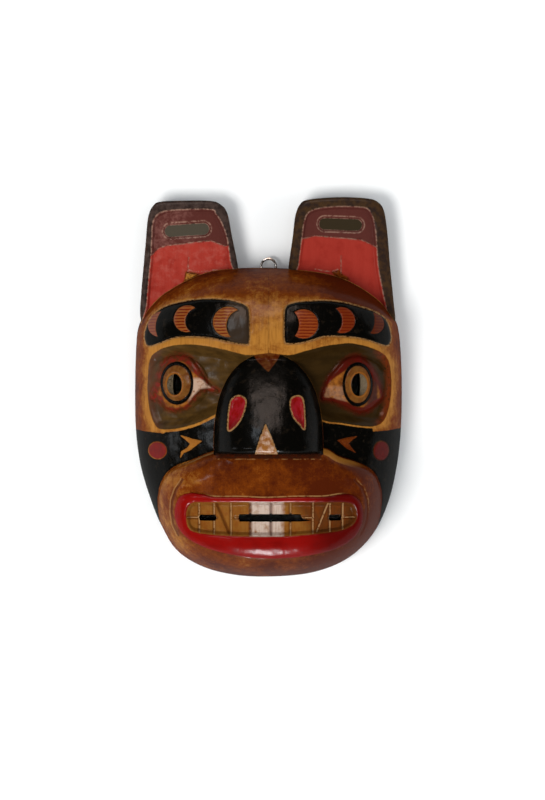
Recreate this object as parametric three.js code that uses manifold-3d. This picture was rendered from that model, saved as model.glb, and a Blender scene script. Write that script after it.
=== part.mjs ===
// Carved and painted wooden bear mask, lying on the flat rim of its back.
// Millimetres. +X to the viewer's right, +Y up the face, +Z out of the face; the rim lies at z = 0.
// Two pieces: the mask, carved from one block with its ears, and the metal ring it is hung by.
// The carving is a height over the face, z = f(x, y), meshed finely only where the form needs it.

import * as THREE from 'three';
import { mergeVertices } from 'three/addons/utils/BufferGeometryUtils.js';
import Module from 'manifold-3d';

const wasm = await Module();
wasm.setup();

// Driving dimensions

const RIM_EDGE = 6;              // upright edge of the face above the rim
const DOME_HEIGHT = 90;          // the plain vault of the face, without nose and muzzle
const MUZZLE_HEIGHT = 104;       // front of the muzzle
const MUZZLE_ROUND = 18;         // width of its rounded upper shoulder
const WALL = 10;                 // wood at the rim, sides and chin
const TOP_WALL = 21;             // wood at the rim under the ears
const HOLLOW_HEIGHT = 75;        // vault of the hollow
const CENTRE = { x: 0, y: -22 }; // the vault's middle, from which its outline is a radius

// Behind the nose and the muzzle the hollow goes deeper, so that the wood there is no thicker block.
const POCKETS = [
  { x: 0, y: -34, rx: 30, ry: 34, depth: 26 },
  { x: 0, y: -100, rx: 62, ry: 36, depth: 8 },
];

// How square the vaults are: across, towards the ears and towards the chin.
const VAULT_POWER = { side: 2.3, top: 4.2, bottom: 3.5 };
const MUZZLE_POWER = { side: 4, top: 4, bottom: 6 };

// An edge is the width over which a shape rises to its full height.
const BROW = { raise: 1.8, edge: 3.2 };
const SOCKET = { depth: 9, edge: 9 };
const EYE = { raise: 9.5, fullness: 0.8, lidRaise: 1.3, irisRaise: 1.2, edge: 2.2 };

// The nose rises in an arch from its root to its tip, where it is cut off above the muzzle.
const NOSE = { halfWidth: 42.5, top: 26, bottom: -51.5, rootDepth: 5, rise: 43, ridgeTop: 24 };
const NOSE_FORM = {
  arch: 1.5, taper: 2.83, section: 2.6, tipDrop: 5, tipLength: 6, endDrop: 26, endWidth: 1.6,
};
const NOSE_JOIN = 2;             // rounding where it meets the face

const LIP = { raise: 6, width: 15, fullness: 0.75 };
const MOUTH_CUT = { depth: 6.5, edge: 3.2 };
const TOOTH_GROOVE = { depth: 1.7, half: 1.9, fade: 2 };
const BITE_Y = -101.3;

const EAR = { height: 25, round: 4, dish: 3.2, dishEdge: 2.5, slotDepth: 1.6, slotEdge: 1.4 };

// The ring's middle, its wire, and the shank that starts inside the wire
const RING = { y: 97.8, z: 6.5, radius: 5.9, wire: 1.0, shank: 1.2, shankTop: 6.3, shankLength: 11.5 };
const RING_SEAT = { side: 3, under: 1.2, back: 0.5, height: 30 };
const GAP = 0.3;

// How far the flat facets may lie off the true surface, and how many there are round the round parts.
const FACE_TOL = 0.77;
const EAR_TOL = 0.75;
const HOLLOW_TOL = 1.2;
const FACETS = { eye: 24, bore: 12, shank: 8, wire: 8, loop: 24 };

// Outlines, closed, as points of smooth curves

const FACE = [
  [107.6, -8], [107, 23], [104.4, 48.5], [98, 60.5], [90, 69.8], [81, 76.8], [71, 83], [59, 88.6], [44, 92.4],
  [25, 94.9], [0, 96.5], [-25, 96], [-42, 94.6], [-55, 91.4], [-66, 86.8], [-78, 80.2], [-88.4, 73], [-99, 61],
  [-104.8, 49], [-106.6, 36], [-107.6, 8], [-107.2, -32], [-103, -64], [-93.6, -94.5], [-85.5, -113.2],
  [-76, -129], [-63, -139.6], [-45, -147.3], [-23, -151.6], [0, -152.5], [26, -150.8], [45, -146.5],
  [62, -139], [76, -128], [88, -112.5], [97.6, -89.7], [103.5, -64], [106.6, -38],
];

const LEFT_EAR = [
  [-96, 44], [-102.6, 56], [-102, 76], [-100.4, 95], [-98.5, 116], [-96.6, 136], [-92.5, 145.5], [-86, 148.8],
  [-65, 149.6], [-46, 149.3], [-38, 146.2], [-33, 139.5], [-29.8, 123.6], [-24.5, 97], [-23, 80], [-60, 56],
];
const RIGHT_EAR = [
  [95, 42], [101.4, 52], [100.4, 68], [97.6, 96.4], [95.2, 125], [92.6, 141.3], [88.2, 148], [80, 151.2],
  [58, 152.4], [33, 150.6], [25.4, 146.8], [21.4, 137.2], [19.4, 121], [16, 96.4], [15, 78], [60, 56],
];
const LEFT_EAR_PANEL = [
  [-99, 48], [-97.6, 66], [-96.2, 84], [-94.2, 104.4], [-93.5, 120], [-92.2, 133], [-86.5, 139.6],
  [-75, 141.7], [-47, 142.3], [-41.8, 138.5], [-37, 130.5], [-33.2, 119.6], [-30.3, 100], [-28, 84], [-64, 60],
];
const RIGHT_EAR_PANEL = [
  [96, 46], [94.6, 62], [91.6, 76], [87.8, 97], [86.3, 119.6], [84.6, 132.4], [82, 139.3], [77, 143.6],
  [58, 144.6], [41, 143.2], [32, 139.7], [28.4, 132], [26.7, 119.6], [24, 98], [22, 82], [62, 58],
];

const LEFT_BROW = [
  [-98.6, 42], [-94.6, 54], [-87, 61], [-77, 65.4], [-60, 68.5], [-45, 69.2], [-31, 67.8], [-20, 64.6],
  [-15.2, 60], [-14.4, 46], [-14.8, 34.4], [-18, 32.6], [-30, 34.4], [-45, 37.6], [-60, 38.7], [-73, 38.2],
  [-85, 34.2], [-94, 32], [-97.6, 35],
];
const RIGHT_BROW = [
  [97.4, 42], [93.6, 53.4], [85, 59.2], [73, 63.2], [59, 66.5], [45, 67.8], [32, 67.2], [20, 65.8],
  [13, 61.6], [12, 48], [12.2, 36], [15, 33.2], [24, 33.6], [34, 36], [44, 38.9], [60, 38.9], [74, 37.3],
  [85, 34.2], [93, 32.3], [96.6, 35],
];

const LEFT_SOCKET = [
  [-96.5, 2], [-94.6, 21], [-89, 28], [-79, 32.2], [-65, 33.8], [-50, 32.8], [-34, 29.6], [-17, 25.4],
  [2, 24], [2, 0], [-20, -12], [-42, -22.8], [-53, -28.2], [-66, -32.3], [-79, -34.2], [-88, -32.6],
  [-93.4, -23], [-95.9, -11],
];
const RIGHT_SOCKET = [
  [98.2, 6], [94.8, 22.8], [83, 30.6], [65, 34.7], [53, 33.8], [42, 32], [29, 28.6], [17, 25.4], [-2, 24],
  [-2, 0], [20, -12], [41, -26.2], [57, -29.1], [72, -31.4], [84, -31.6], [92.4, -26], [97, -12],
];
const LEFT_LIDS = [
  [-93.4, -8.4], [-88.6, 5.7], [-85, 17], [-79, 23.6], [-70.7, 26.5], [-61.5, 24], [-54.3, 15.5],
  [-47, 4.5], [-38.1, -4], [-50, -3.4], [-56.5, -8.4], [-63, -16], [-72, -19.2], [-80.4, -17.8], [-86, -12.5],
];
const RIGHT_LIDS = [
  [91, -8.4], [88.4, 2], [83, 13.5], [78, 20], [71, 25.2], [62, 23.4], [53, 15.2], [45, 5], [40.6, -9.6],
  [49, -11.6], [57.5, -15.2], [66, -19.4], [73, -21.2], [80, -19], [86.6, -13.4],
];

const MUZZLE = [
  [89.5, -92], [88, -78.5], [82, -67], [70, -59.6], [55, -54.4], [44, -48.4], [20, -44], [-20, -44],
  [-46, -51.8], [-60, -57.8], [-72.5, -62.6], [-81.5, -70.6], [-86.4, -83], [-87.3, -98], [-84, -116],
  [-74, -133], [-45, -151], [0, -157], [45, -150], [74, -132], [86, -114],
];
const LIPS = [
  [73.7, -98], [71, -88.8], [64.5, -83.4], [55, -83], [42, -84.7], [20, -84.8], [-2, -85.6], [-20, -84.9],
  [-41.4, -84.8], [-50, -83], [-61, -82], [-69.2, -85.8], [-72.7, -95], [-72.6, -103], [-68.7, -112],
  [-60.6, -119.4], [-46.4, -125.9], [-26.4, -130.6], [-7, -133.1], [13, -133.1], [32, -131], [52, -126.4],
  [65.8, -118.8], [72.5, -108.4],
];
const MOUTH = [
  [68.4, -100.6], [67, -93.6], [62.4, -90], [48, -89.2], [0, -89], [-48, -89.2], [-58.6, -90], [-62.4, -94.4],
  [-63.4, -101], [-62, -108.8], [-56, -112.6], [-40, -114.4], [-16, -115.2], [12, -115.2], [38, -113.4],
  [54, -111.6], [63, -108.6], [67.2, -105],
];

// Eyes, ear slots, teeth and bite slots

const EYES = [
  {
    x: -71.6, y: 2.9, iris: [12.6, 14.6], ball: [25, 22],
    hole: { x: -73.4, y: 1.8, rx: 6.3, ry: 8.3, side: -1 },
  },
  {
    x: 69.8, y: 1.9, iris: [11.6, 15], ball: [25, 22],
    hole: { x: 70.8, y: 1.6, rx: 6.8, ry: 8.9, side: 1 },
  },
];

const EAR_SLOTS = [
  { x: -65.4, y: 126, half: 13.2, r: 6, tilt: 4 },
  { x: 57.8, y: 130.5, half: 12.6, r: 6, tilt: -2 },
];

const TOOTH_LINES = [-53.5, -41.9, -28.8, -13.9, 2, 17.1, 34.4, 47.6, 57.6];
const CANINE_LINES = [
  { from: [-39.9, -90], to: [-30.4, -113] },
  { from: [46, -90], to: [37.5, -112] },
];
// Where upper and lower teeth part, and where they are cut through; the tail is a thin end to the right.
const BITE_LINES = [[-66, -40], [-26, 35], [46.5, 72]];
const BITE_SLOTS = [
  { from: -23.2, to: 25.5, half: 2.9, tail: 8 },
  { from: -53.8, to: -40.1, half: 2.4, tail: 0 },
  { from: 46.5, to: 56.7, half: 2.4, tail: 0 },
];

// The cuts through the wall start inside the hollow and end in front of the face.
// An eye's cut goes through on the inner side of its hole, and the outer side slants down to it.
const EYE_CUT = { bottom: 20, top: 100, surface: 73, lean: 0.1, width: 8.4, slant: 1.5 };
const BITE_CUT = { bottom: 40, top: 120, blunt: 0.9 };

// Small maths

const clamp01 = (t) => Math.min(1, Math.max(0, t));

// 0 at zero or less, 1 at width or more, smooth between.
function rise(distance, width) {
  const t = clamp01(distance / width);
  return t * t * (3 - 2 * t);
}

// The larger of two heights, their meeting rounded over about r.
function blendMax(a, b, r) {
  const h = Math.max(0, r - Math.abs(a - b));
  return Math.max(a, b) + (h * h) / (4 * r);
}

const ellipse = (x, y, rx, ry) => Math.hypot(x / rx, y / ry);

function segmentDistance(x, y, ax, ay, bx, by) {
  const dx = bx - ax;
  const dy = by - ay;
  const t = clamp01(((x - ax) * dx + (y - ay) * dy) / (dx * dx + dy * dy));
  return Math.hypot(x - ax - t * dx, y - ay - t * dy);
}

// A smooth closed outline, asked how far a point is from it: negative inside, rough where it is far.
const FAR = 40;

class Outline {
  constructor(points, steps = 8) {
    const curve = new THREE.CatmullRomCurve3(
      points.map(([x, y]) => new THREE.Vector3(x, y, 0)), true, 'catmullrom', 0.5);
    this.ring = curve.getPoints(points.length * steps).slice(0, -1);
    this.box = new THREE.Box2().setFromPoints(this.ring.map((p) => new THREE.Vector2(p.x, p.y)));
  }

  distance(x, y) {
    const { min, max } = this.box;
    const away = Math.max(min.x - x, x - max.x, min.y - y, y - max.y);
    if (away > FAR) return away;
    let nearest = Infinity;
    let inside = false;
    let a = this.ring[this.ring.length - 1];
    for (const b of this.ring) {
      nearest = Math.min(nearest, segmentDistance(x, y, a.x, a.y, b.x, b.y));
      const crosses = (a.y > y) !== (b.y > y);
      if (crosses && x < a.x + ((y - a.y) * (b.x - a.x)) / (b.y - a.y)) inside = !inside;
      a = b;
    }
    return inside ? -nearest : nearest;
  }
}

// An outline as a radius round a middle point, looked up by angle.
class RadialOutline {
  constructor(points, centre, count = 1440) {
    this.count = count;
    const ring = new Outline(points, 60).ring.map((p) => {
      const dx = p.x - centre.x;
      const dy = p.y - centre.y;
      return { angle: Math.atan2(dy, dx), radius: Math.hypot(dx, dy) };
    });
    ring.sort((a, b) => a.angle - b.angle);
    this.radii = new Array(count);
    const turn = 2 * Math.PI;
    let k = 0;
    for (let i = 0; i < count; i++) {
      const angle = (i / count) * turn - Math.PI;
      while (k < ring.length && ring[k].angle < angle) k++;
      const b = ring[k % ring.length];
      const a = ring[(k + ring.length - 1) % ring.length];
      const span = ((b.angle - a.angle) % turn + turn) % turn;
      const part = ((angle - a.angle) % turn + turn) % turn;
      this.radii[i] = a.radius + (b.radius - a.radius) * (span > 0 ? part / span : 0);
    }
  }

  radius(angle) {
    const at = ((angle + Math.PI) / (2 * Math.PI)) * this.count;
    const i = Math.floor(at);
    const a = this.radii[i % this.count];
    const b = this.radii[(i + 1) % this.count];
    return a + (b - a) * (at - i);
  }
}

const face = new RadialOutline(FACE, CENTRE);
const outlines = Object.fromEntries(Object.entries({
  LEFT_EAR, RIGHT_EAR, LEFT_EAR_PANEL, RIGHT_EAR_PANEL, LEFT_BROW, RIGHT_BROW, LEFT_SOCKET, RIGHT_SOCKET,
  LEFT_LIDS, RIGHT_LIDS, MUZZLE, LIPS, MOUTH,
}).map(([name, points]) => [name, new Outline(points)]));

// Heights of the face

// A vault over the outline: 1 in the middle, 0 at the rim, squarer the higher the power.
function vault(x, y, power, inset = () => 0) {
  const dx = x - CENTRE.x;
  const dy = y - CENTRE.y;
  const angle = Math.atan2(dy, dx);
  const rho = Math.hypot(dx, dy) / (face.radius(angle) - inset(angle));
  const up = Math.sin(angle) ** 2;
  const p = power.side + ((dy > 0 ? power.top : power.bottom) - power.side) * up;
  return Math.sqrt(Math.max(0, 1 - rho ** p));
}

const domeHeight = (x, y) => RIM_EDGE + (DOME_HEIGHT - RIM_EDGE) * vault(x, y, VAULT_POWER);

function muzzleHeight(x, y, dome) {
  const inside = -outlines.MUZZLE.distance(x, y);
  if (inside <= 0) return dome;
  const full = RIM_EDGE + (MUZZLE_HEIGHT - RIM_EDGE) * vault(x, y, MUZZLE_POWER);
  const t = 1 - clamp01(inside / MUZZLE_ROUND);
  return dome + Math.max(0, full - dome) * Math.sqrt(1 - t * t);
}

function browRelief(x, y) {
  const inside = -Math.min(outlines.LEFT_BROW.distance(x, y), outlines.RIGHT_BROW.distance(x, y));
  return BROW.raise * rise(inside, BROW.edge);
}

function socketRelief(x, y) {
  const inside = -Math.min(outlines.LEFT_SOCKET.distance(x, y), outlines.RIGHT_SOCKET.distance(x, y));
  return -SOCKET.depth * rise(inside, SOCKET.edge);
}

// The slant of an eye's hole, whose chord at this height is the given share of its full width
function holeSlant({ x: middle, y: height, rx, ry, side }, x, y) {
  const share = Math.sqrt(Math.max(0, 1 - ((y - height) / ry) ** 2));
  const fromOuter = rx * share - side * (x - middle);
  const fromInner = 2 * rx * share - fromOuter;
  if (fromOuter <= 0 || fromInner <= 0) return 0;
  return -EYE_CUT.slant * Math.min(fromOuter, (fromInner * (2 * rx - EYE_CUT.width)) / EYE_CUT.width);
}

function eyeRelief(x, y) {
  const inside = -Math.min(outlines.LEFT_LIDS.distance(x, y), outlines.RIGHT_LIDS.distance(x, y));
  let z = EYE.lidRaise * rise(inside, EYE.edge);
  for (const eye of EYES) {
    const q = ellipse(x - eye.x, y - eye.y, ...eye.ball);
    if (q < 1) z += EYE.raise * (1 - q * q) ** EYE.fullness;
    const rim = ellipse(x - eye.x, y - eye.y, ...eye.iris);
    if (rim < 1) z += EYE.irisRaise * rise((1 - rim) * eye.iris[0], EYE.edge);
    z += holeSlant(eye.hole, x, y);
  }
  return z;
}

const noseHalfWidth = (y) => {
  const t = Math.max(0, (y - NOSE.bottom) / (NOSE.top - NOSE.bottom));
  return NOSE.halfWidth * Math.sqrt(Math.max(0, 1 - t ** NOSE_FORM.taper));
};

function noseHeight(x, y, dome) {
  const { arch, section, tipDrop, tipLength, endDrop, endWidth } = NOSE_FORM;
  if (y >= NOSE.top || y < NOSE.bottom - endWidth) return -Infinity;
  const t = Math.abs(x) / Math.max(1e-6, noseHalfWidth(y));
  if (t >= 1) return -Infinity;
  const down = clamp01((NOSE.ridgeTop - y) / (NOSE.ridgeTop - NOSE.bottom));
  const drop = tipDrop * clamp01((NOSE.bottom + tipLength - y) / tipLength) ** 3;
  const ridge = NOSE.rise * (1 - (1 - down) ** arch) - drop;
  const end = endDrop * rise(NOSE.bottom - y, endWidth);
  return dome - NOSE.rootDepth + ridge * Math.sqrt(1 - t ** section) - end;
}

function toothRelief(x, y, inside) {
  let line = Infinity;
  for (const [from, to] of BITE_LINES) line = Math.min(line, segmentDistance(x, y, from, BITE_Y, to, BITE_Y));
  for (const at of TOOTH_LINES) line = Math.min(line, Math.abs(x - at));
  for (const { from, to } of CANINE_LINES) {
    line = Math.min(line, segmentDistance(x, y, ...from, ...to));
  }
  const groove = TOOTH_GROOVE.depth * (1 - rise(line, TOOTH_GROOVE.half));
  return -MOUTH_CUT.depth * rise(inside, MOUTH_CUT.edge) - groove * rise(inside, TOOTH_GROOVE.fade);
}

function lipRelief(x, y) {
  const lips = -outlines.LIPS.distance(x, y);
  if (lips <= 0) return 0;
  const mouth = -outlines.MOUTH.distance(x, y);
  if (mouth > 0) return toothRelief(x, y, mouth);
  const width = lips - mouth;
  return LIP.raise * Math.min(1, width / LIP.width) * Math.sin((Math.PI * lips) / width) ** LIP.fullness;
}

function faceHeight(x, y) {
  const dome = domeHeight(x, y);
  let z = muzzleHeight(x, y, dome) + browRelief(x, y) + socketRelief(x, y) + eyeRelief(x, y);
  z += lipRelief(x, y);
  return blendMax(z, noseHeight(x, y, dome), NOSE_JOIN);
}

// Heights of the ears and of the hollow

function earHeight(edge, panel) {
  return (x, y) => {
    const inside = -edge.distance(x, y);
    const shoulder = clamp01(1 - inside / EAR.round);
    let z = EAR.height - EAR.round * (1 - Math.sqrt(1 - shoulder * shoulder));
    z -= EAR.dish * rise(-panel.distance(x, y), EAR.dishEdge);
    for (const slot of EAR_SLOTS) {
      const tilt = THREE.MathUtils.degToRad(slot.tilt);
      const dx = slot.half * Math.cos(tilt);
      const dy = slot.half * Math.sin(tilt);
      const away = segmentDistance(x, y, slot.x - dx, slot.y - dy, slot.x + dx, slot.y + dy);
      z -= EAR.slotDepth * rise(slot.r - away, EAR.slotEdge);
    }
    return z;
  };
}

const rimInset = (angle) => WALL + (TOP_WALL - WALL) * Math.max(0, Math.sin(angle)) ** 4;

function hollowHeight(x, y) {
  let z = HOLLOW_HEIGHT * vault(x, y, VAULT_POWER, rimInset);
  for (const p of POCKETS) {
    const q = ellipse(x - p.x, y - p.y, p.rx, p.ry);
    if (q < 1) z += p.depth * (1 - q * q) ** 2;
  }
  return z;
}

// Meshing a height over an outline

// The square -1..1 laid onto the disc, so that square rings become circles.
function squareToDisc(u, v) {
  const r = Math.max(Math.abs(u), Math.abs(v));
  if (r === 0) return { r, angle: 0 };
  const quarter = Math.PI / 4;
  if (Math.abs(u) >= Math.abs(v)) return { r, angle: quarter * (v / u) + (u < 0 ? Math.PI : 0) };
  return { r, angle: 2 * quarter - quarter * (u / v) + (v < 0 ? Math.PI : 0) };
}

// A grid of points on the surface, close together near the rim, where the surface turns down.
function surfaceGrid(levels, centre, radiusAt, heightAt) {
  const n = 2 ** levels;
  const points = [];
  for (let j = 0; j <= n; j++) {
    for (let i = 0; i <= n; i++) {
      const { r, angle } = squareToDisc((2 * i) / n - 1, (2 * j) / n - 1);
      const wrapped = Math.atan2(Math.sin(angle), Math.cos(angle));
      const radius = radiusAt(wrapped) * Math.sin((r * Math.PI) / 2);
      const x = centre.x + radius * Math.cos(angle);
      const y = centre.y + radius * Math.sin(angle);
      points.push(new THREE.Vector3(x, y, heightAt(x, y)));
    }
  }
  return { n, points };
}

// How far the surface would be off, for every grid point, if the point were left out.
// A point's error also covers the finer points that depend on it.
function gridErrors({ n, points }) {
  const size = n + 1;
  const at = (i, j) => j * size + i;
  const errors = new Float64Array(size * size);
  const middle = new THREE.Vector3();
  const along = new THREE.Vector3();
  const across = new THREE.Vector3();
  const clampIndex = (k) => Math.min(n, Math.max(0, k));

  function offSurface(i, j, a, b) {
    along.subVectors(points[at(clampIndex(i + 1), j)], points[at(clampIndex(i - 1), j)]);
    across.subVectors(points[at(i, clampIndex(j + 1))], points[at(i, clampIndex(j - 1))]);
    along.cross(across).normalize();
    middle.addVectors(points[a], points[b]).multiplyScalar(0.5);
    return Math.abs(middle.sub(points[at(i, j)]).dot(along));
  }

  function cover(i, j, own, around) {
    let worst = own;
    for (const [di, dj] of around) {
      const ii = i + di;
      const jj = j + dj;
      if (ii >= 0 && ii <= n && jj >= 0 && jj <= n) worst = Math.max(worst, errors[at(ii, jj)]);
    }
    errors[at(i, j)] = worst;
  }

  for (let s = 1; s < n; s *= 2) {
    const h = s / 2;
    const corners = s > 1 ? [[h, h], [h, -h], [-h, h], [-h, -h]] : [];
    for (let j = 0; j <= n; j += s) {
      for (let i = 0; i <= n; i += s) {
        const oddI = (i / s) % 2;
        const oddJ = (j / s) % 2;
        if (oddI === oddJ) continue;
        const [di, dj] = oddI ? [s, 0] : [0, s];
        cover(i, j, offSurface(i, j, at(i - di, j - dj), at(i + di, j + dj)), corners);
      }
    }
    for (let j = s; j < n; j += 2 * s) {
      for (let i = s; i < n; i += 2 * s) {
        const rising = (((i - s) / (2 * s)) + ((j - s) / (2 * s))) % 2 === 0;
        const di = rising ? s : -s;
        cover(i, j, offSurface(i, j, at(i - di, j - s), at(i + di, j + s)), [[s, 0], [-s, 0], [0, s], [0, -s]]);
      }
    }
  }
  return errors;
}

// Halves triangles until every point left out is within the tolerance.
function adaptiveTriangles(grid, tolerance) {
  const { n } = grid;
  const size = n + 1;
  const errors = gridErrors(grid);
  const triangles = [];
  function split(ax, ay, bx, by, cx, cy) {
    const mx = (ax + bx) / 2;
    const my = (ay + by) / 2;
    const longEnough = Math.abs(ax - cx) + Math.abs(ay - cy) > 1;
    if (longEnough && errors[my * size + mx] > tolerance) {
      split(cx, cy, ax, ay, mx, my);
      split(bx, by, cx, cy, mx, my);
    } else {
      triangles.push([ay * size + ax, cy * size + cx, by * size + bx]);
    }
  }
  split(0, 0, n, n, n, 0);
  split(n, n, 0, 0, 0, n);
  return triangles;
}

// A closed solid between the surface and a flat bottom.
function reliefSolid({ levels, tolerance, centre, radiusAt, heightAt, bottom }) {
  const grid = surfaceGrid(levels, centre, radiusAt, heightAt);
  const triangles = adaptiveTriangles(grid, tolerance);
  const positions = [];
  const addPoint = (x, y, z) => positions.push(x, y, z) / 3 - 1;
  const upper = new Map();
  const upperOf = (k) => {
    if (!upper.has(k)) upper.set(k, addPoint(...grid.points[k].toArray()));
    return upper.get(k);
  };
  const index = [];
  const edges = new Map();
  for (const corners of triangles) {
    const [i, j, k] = corners.map(upperOf);
    index.push(i, j, k);
    for (const [from, to] of [[i, j], [j, k], [k, i]]) {
      if (!edges.delete(`${to},${from}`)) edges.set(`${from},${to}`, [from, to]);
    }
  }
  const lower = new Map();
  const lowerOf = (k) => {
    if (!lower.has(k)) lower.set(k, addPoint(positions[3 * k], positions[3 * k + 1], bottom));
    return lower.get(k);
  };
  const hub = addPoint(centre.x, centre.y, bottom);
  for (const [from, to] of edges.values()) {
    const f = lowerOf(from);
    const t = lowerOf(to);
    index.push(from, f, to, to, f, t, f, hub, t);
  }
  return manifoldOf(new Float32Array(positions), new Uint32Array(index));
}

// Joins and cuts

function manifoldOf(vertProperties, triVerts) {
  return new wasm.Manifold(new wasm.Mesh({ numProp: 3, vertProperties, triVerts }));
}

function solidOf(geometry) {
  const bare = geometry.clone();
  bare.deleteAttribute('normal');
  bare.deleteAttribute('uv');
  const merged = mergeVertices(bare, 1e-4);
  const positions = new Float32Array(merged.attributes.position.array);
  return manifoldOf(positions, new Uint32Array(merged.index.array));
}

function geometryOf(solid) {
  const mesh = solid.getMesh();
  const geometry = new THREE.BufferGeometry();
  geometry.setAttribute('position', new THREE.BufferAttribute(mesh.vertProperties, 3));
  geometry.setIndex(new THREE.BufferAttribute(mesh.triVerts, 1));
  geometry.computeVertexNormals();
  return geometry;
}

// An upright prism over a closed polygon
function prism(points, { bottom, top }) {
  const shape = new THREE.Shape(points.map(([x, y]) => new THREE.Vector2(x, y)));
  const geometry = new THREE.ExtrudeGeometry(shape, { depth: top - bottom, bevelEnabled: false });
  return geometry.translate(0, 0, bottom);
}

// The eyes are pierced nearly square to the slope of the face, so each cut leans outwards to the front.
function eyeCut({ x, y, rx, ry, side }) {
  const lean = side * EYE_CUT.lean;
  const points = [];
  for (let k = 0; k < FACETS.eye; k++) {
    const turn = (2 * Math.PI * k) / FACETS.eye;
    const reach = Math.cos(turn) > 0 ? EYE_CUT.width - rx : rx;
    points.push([x - lean * EYE_CUT.surface + side * reach * Math.cos(turn), y + ry * Math.sin(turn)]);
  }
  const shear = new THREE.Matrix4().makeShear(0, 0, 0, 0, lean, 0);
  return solidOf(prism(points, EYE_CUT).applyMatrix4(shear));
}

function biteCut({ from, to, half, tail }) {
  const { blunt } = BITE_CUT;
  const right = tail > 0 ? [[to + tail, -0.8 * half], [to + blunt, -0.2 * half]] : [[to, 0]];
  const points = [
    [from + blunt, -half], [to - blunt, -half], ...right, [to - blunt, half], [from + blunt, half], [from, 0],
  ];
  return solidOf(prism(points.map(([x, y]) => [x, BITE_Y + y]), BITE_CUT));
}

// The place of the ring in the back of the top edge: an open recess, and the hole of its shank.
function ringSeat() {
  const reach = RING.radius + RING.wire;
  const floor = RING.y - reach - RING_SEAT.under;
  const width = 2 * (reach + RING_SEAT.side);
  const recess = new THREE.BoxGeometry(width, RING_SEAT.height, 2 * (RING.z + RING_SEAT.back));
  recess.translate(0, floor + RING_SEAT.height / 2, RING.z);
  const bore = RING.shank + GAP;
  const depth = RING.shankLength + GAP;
  const hole = new THREE.CylinderGeometry(bore, bore, depth + RING_SEAT.under, FACETS.bore);
  hole.translate(0, floor + (RING_SEAT.under - depth) / 2, RING.z);
  return solidOf(recess).add(solidOf(hole));
}

// The pieces

function maskBody() {
  const faceSolid = reliefSolid({
    levels: 8, tolerance: FACE_TOL, centre: CENTRE, bottom: 0,
    radiusAt: (angle) => face.radius(angle), heightAt: faceHeight,
  });
  const ears = [
    ['LEFT_EAR', 'LEFT_EAR_PANEL', LEFT_EAR, { x: -63, y: 104 }],
    ['RIGHT_EAR', 'RIGHT_EAR_PANEL', RIGHT_EAR, { x: 60, y: 104 }],
  ].map(([edge, panel, points, centre]) => {
    const radial = new RadialOutline(points, centre);
    return reliefSolid({
      levels: 7, tolerance: EAR_TOL, centre, bottom: 0,
      radiusAt: (angle) => radial.radius(angle), heightAt: earHeight(outlines[edge], outlines[panel]),
    });
  });
  const hollow = reliefSolid({
    levels: 6, tolerance: HOLLOW_TOL, centre: CENTRE, bottom: -5,
    radiusAt: (angle) => face.radius(angle) - rimInset(angle), heightAt: hollowHeight,
  });
  let solid = faceSolid.add(ears[0]).add(ears[1]).subtract(hollow);
  for (const eye of EYES) solid = solid.subtract(eyeCut(eye.hole));
  for (const slot of BITE_SLOTS) solid = solid.subtract(biteCut(slot));
  return geometryOf(solid.subtract(ringSeat()));
}

// A wire ring with its pointed shank, screwed into the top edge from above.
function hangingRing() {
  const loop = new THREE.TorusGeometry(RING.radius, RING.wire, FACETS.wire, FACETS.loop);
  const length = RING.shankLength + RING_SEAT.under;
  const shank = new THREE.CylinderGeometry(RING.shank, RING.shank / 2, length, FACETS.shank);
  shank.translate(0, -RING.shankTop - length / 2, 0);
  return geometryOf(solidOf(loop).add(solidOf(shank)));
}

const wood = new THREE.MeshStandardMaterial({ color: 0x96602a, roughness: 0.35, metalness: 0 });
const steel = new THREE.MeshStandardMaterial({ color: 0xb9bcc0, roughness: 0.3, metalness: 1 });

const mask = new THREE.Group();

const body = new THREE.Mesh(maskBody(), wood);
body.name = 'mask_body';
mask.add(body);

const ring = new THREE.Mesh(hangingRing(), steel);
ring.name = 'hanging_ring';
ring.position.set(0, RING.y, RING.z);
mask.add(ring);

export default mask;
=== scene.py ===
import math

import bpy
import numpy as np
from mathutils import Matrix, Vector
from mathutils.geometry import tessellate_polygon


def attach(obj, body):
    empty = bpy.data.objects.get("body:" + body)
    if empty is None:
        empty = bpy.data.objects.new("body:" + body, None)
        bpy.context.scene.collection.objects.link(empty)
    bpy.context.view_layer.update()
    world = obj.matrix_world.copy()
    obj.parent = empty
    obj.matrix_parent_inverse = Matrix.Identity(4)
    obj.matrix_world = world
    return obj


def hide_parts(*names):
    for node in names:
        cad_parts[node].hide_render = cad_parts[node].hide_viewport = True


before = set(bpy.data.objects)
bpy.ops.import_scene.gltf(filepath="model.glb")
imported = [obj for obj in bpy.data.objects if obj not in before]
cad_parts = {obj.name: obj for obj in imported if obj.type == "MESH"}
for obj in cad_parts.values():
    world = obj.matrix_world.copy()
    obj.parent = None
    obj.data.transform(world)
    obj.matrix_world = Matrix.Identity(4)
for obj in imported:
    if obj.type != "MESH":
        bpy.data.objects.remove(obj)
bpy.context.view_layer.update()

MM = 0.001

# Driving dimensions, the same as the solid's
RIM_EDGE = 6.0
DOME_HEIGHT = 90.0
MUZZLE_HEIGHT = 104.0
MUZZLE_ROUND = 18.0
WALL = 10.0
TOP_WALL = 21.0
HOLLOW_HEIGHT = 75.0
HOLLOW_BOTTOM = -5.0
CENTRE = (0.0, -22.0)

VAULT_POWER = {"side": 2.3, "top": 4.2, "bottom": 3.5}
MUZZLE_POWER = {"side": 4.0, "top": 4.0, "bottom": 6.0}

# An edge is the width over which a shape rises to its full height.
BROW = {"raise": 1.8, "edge": 2.4}
SOCKET = {"depth": 9.0, "edge": 9.0}
EYE = {"raise": 9.5, "fullness": 0.8, "lid_raise": 1.1, "edge": 2.2, "iris_raise": 1.2, "iris_edge": 1.2}
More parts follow.
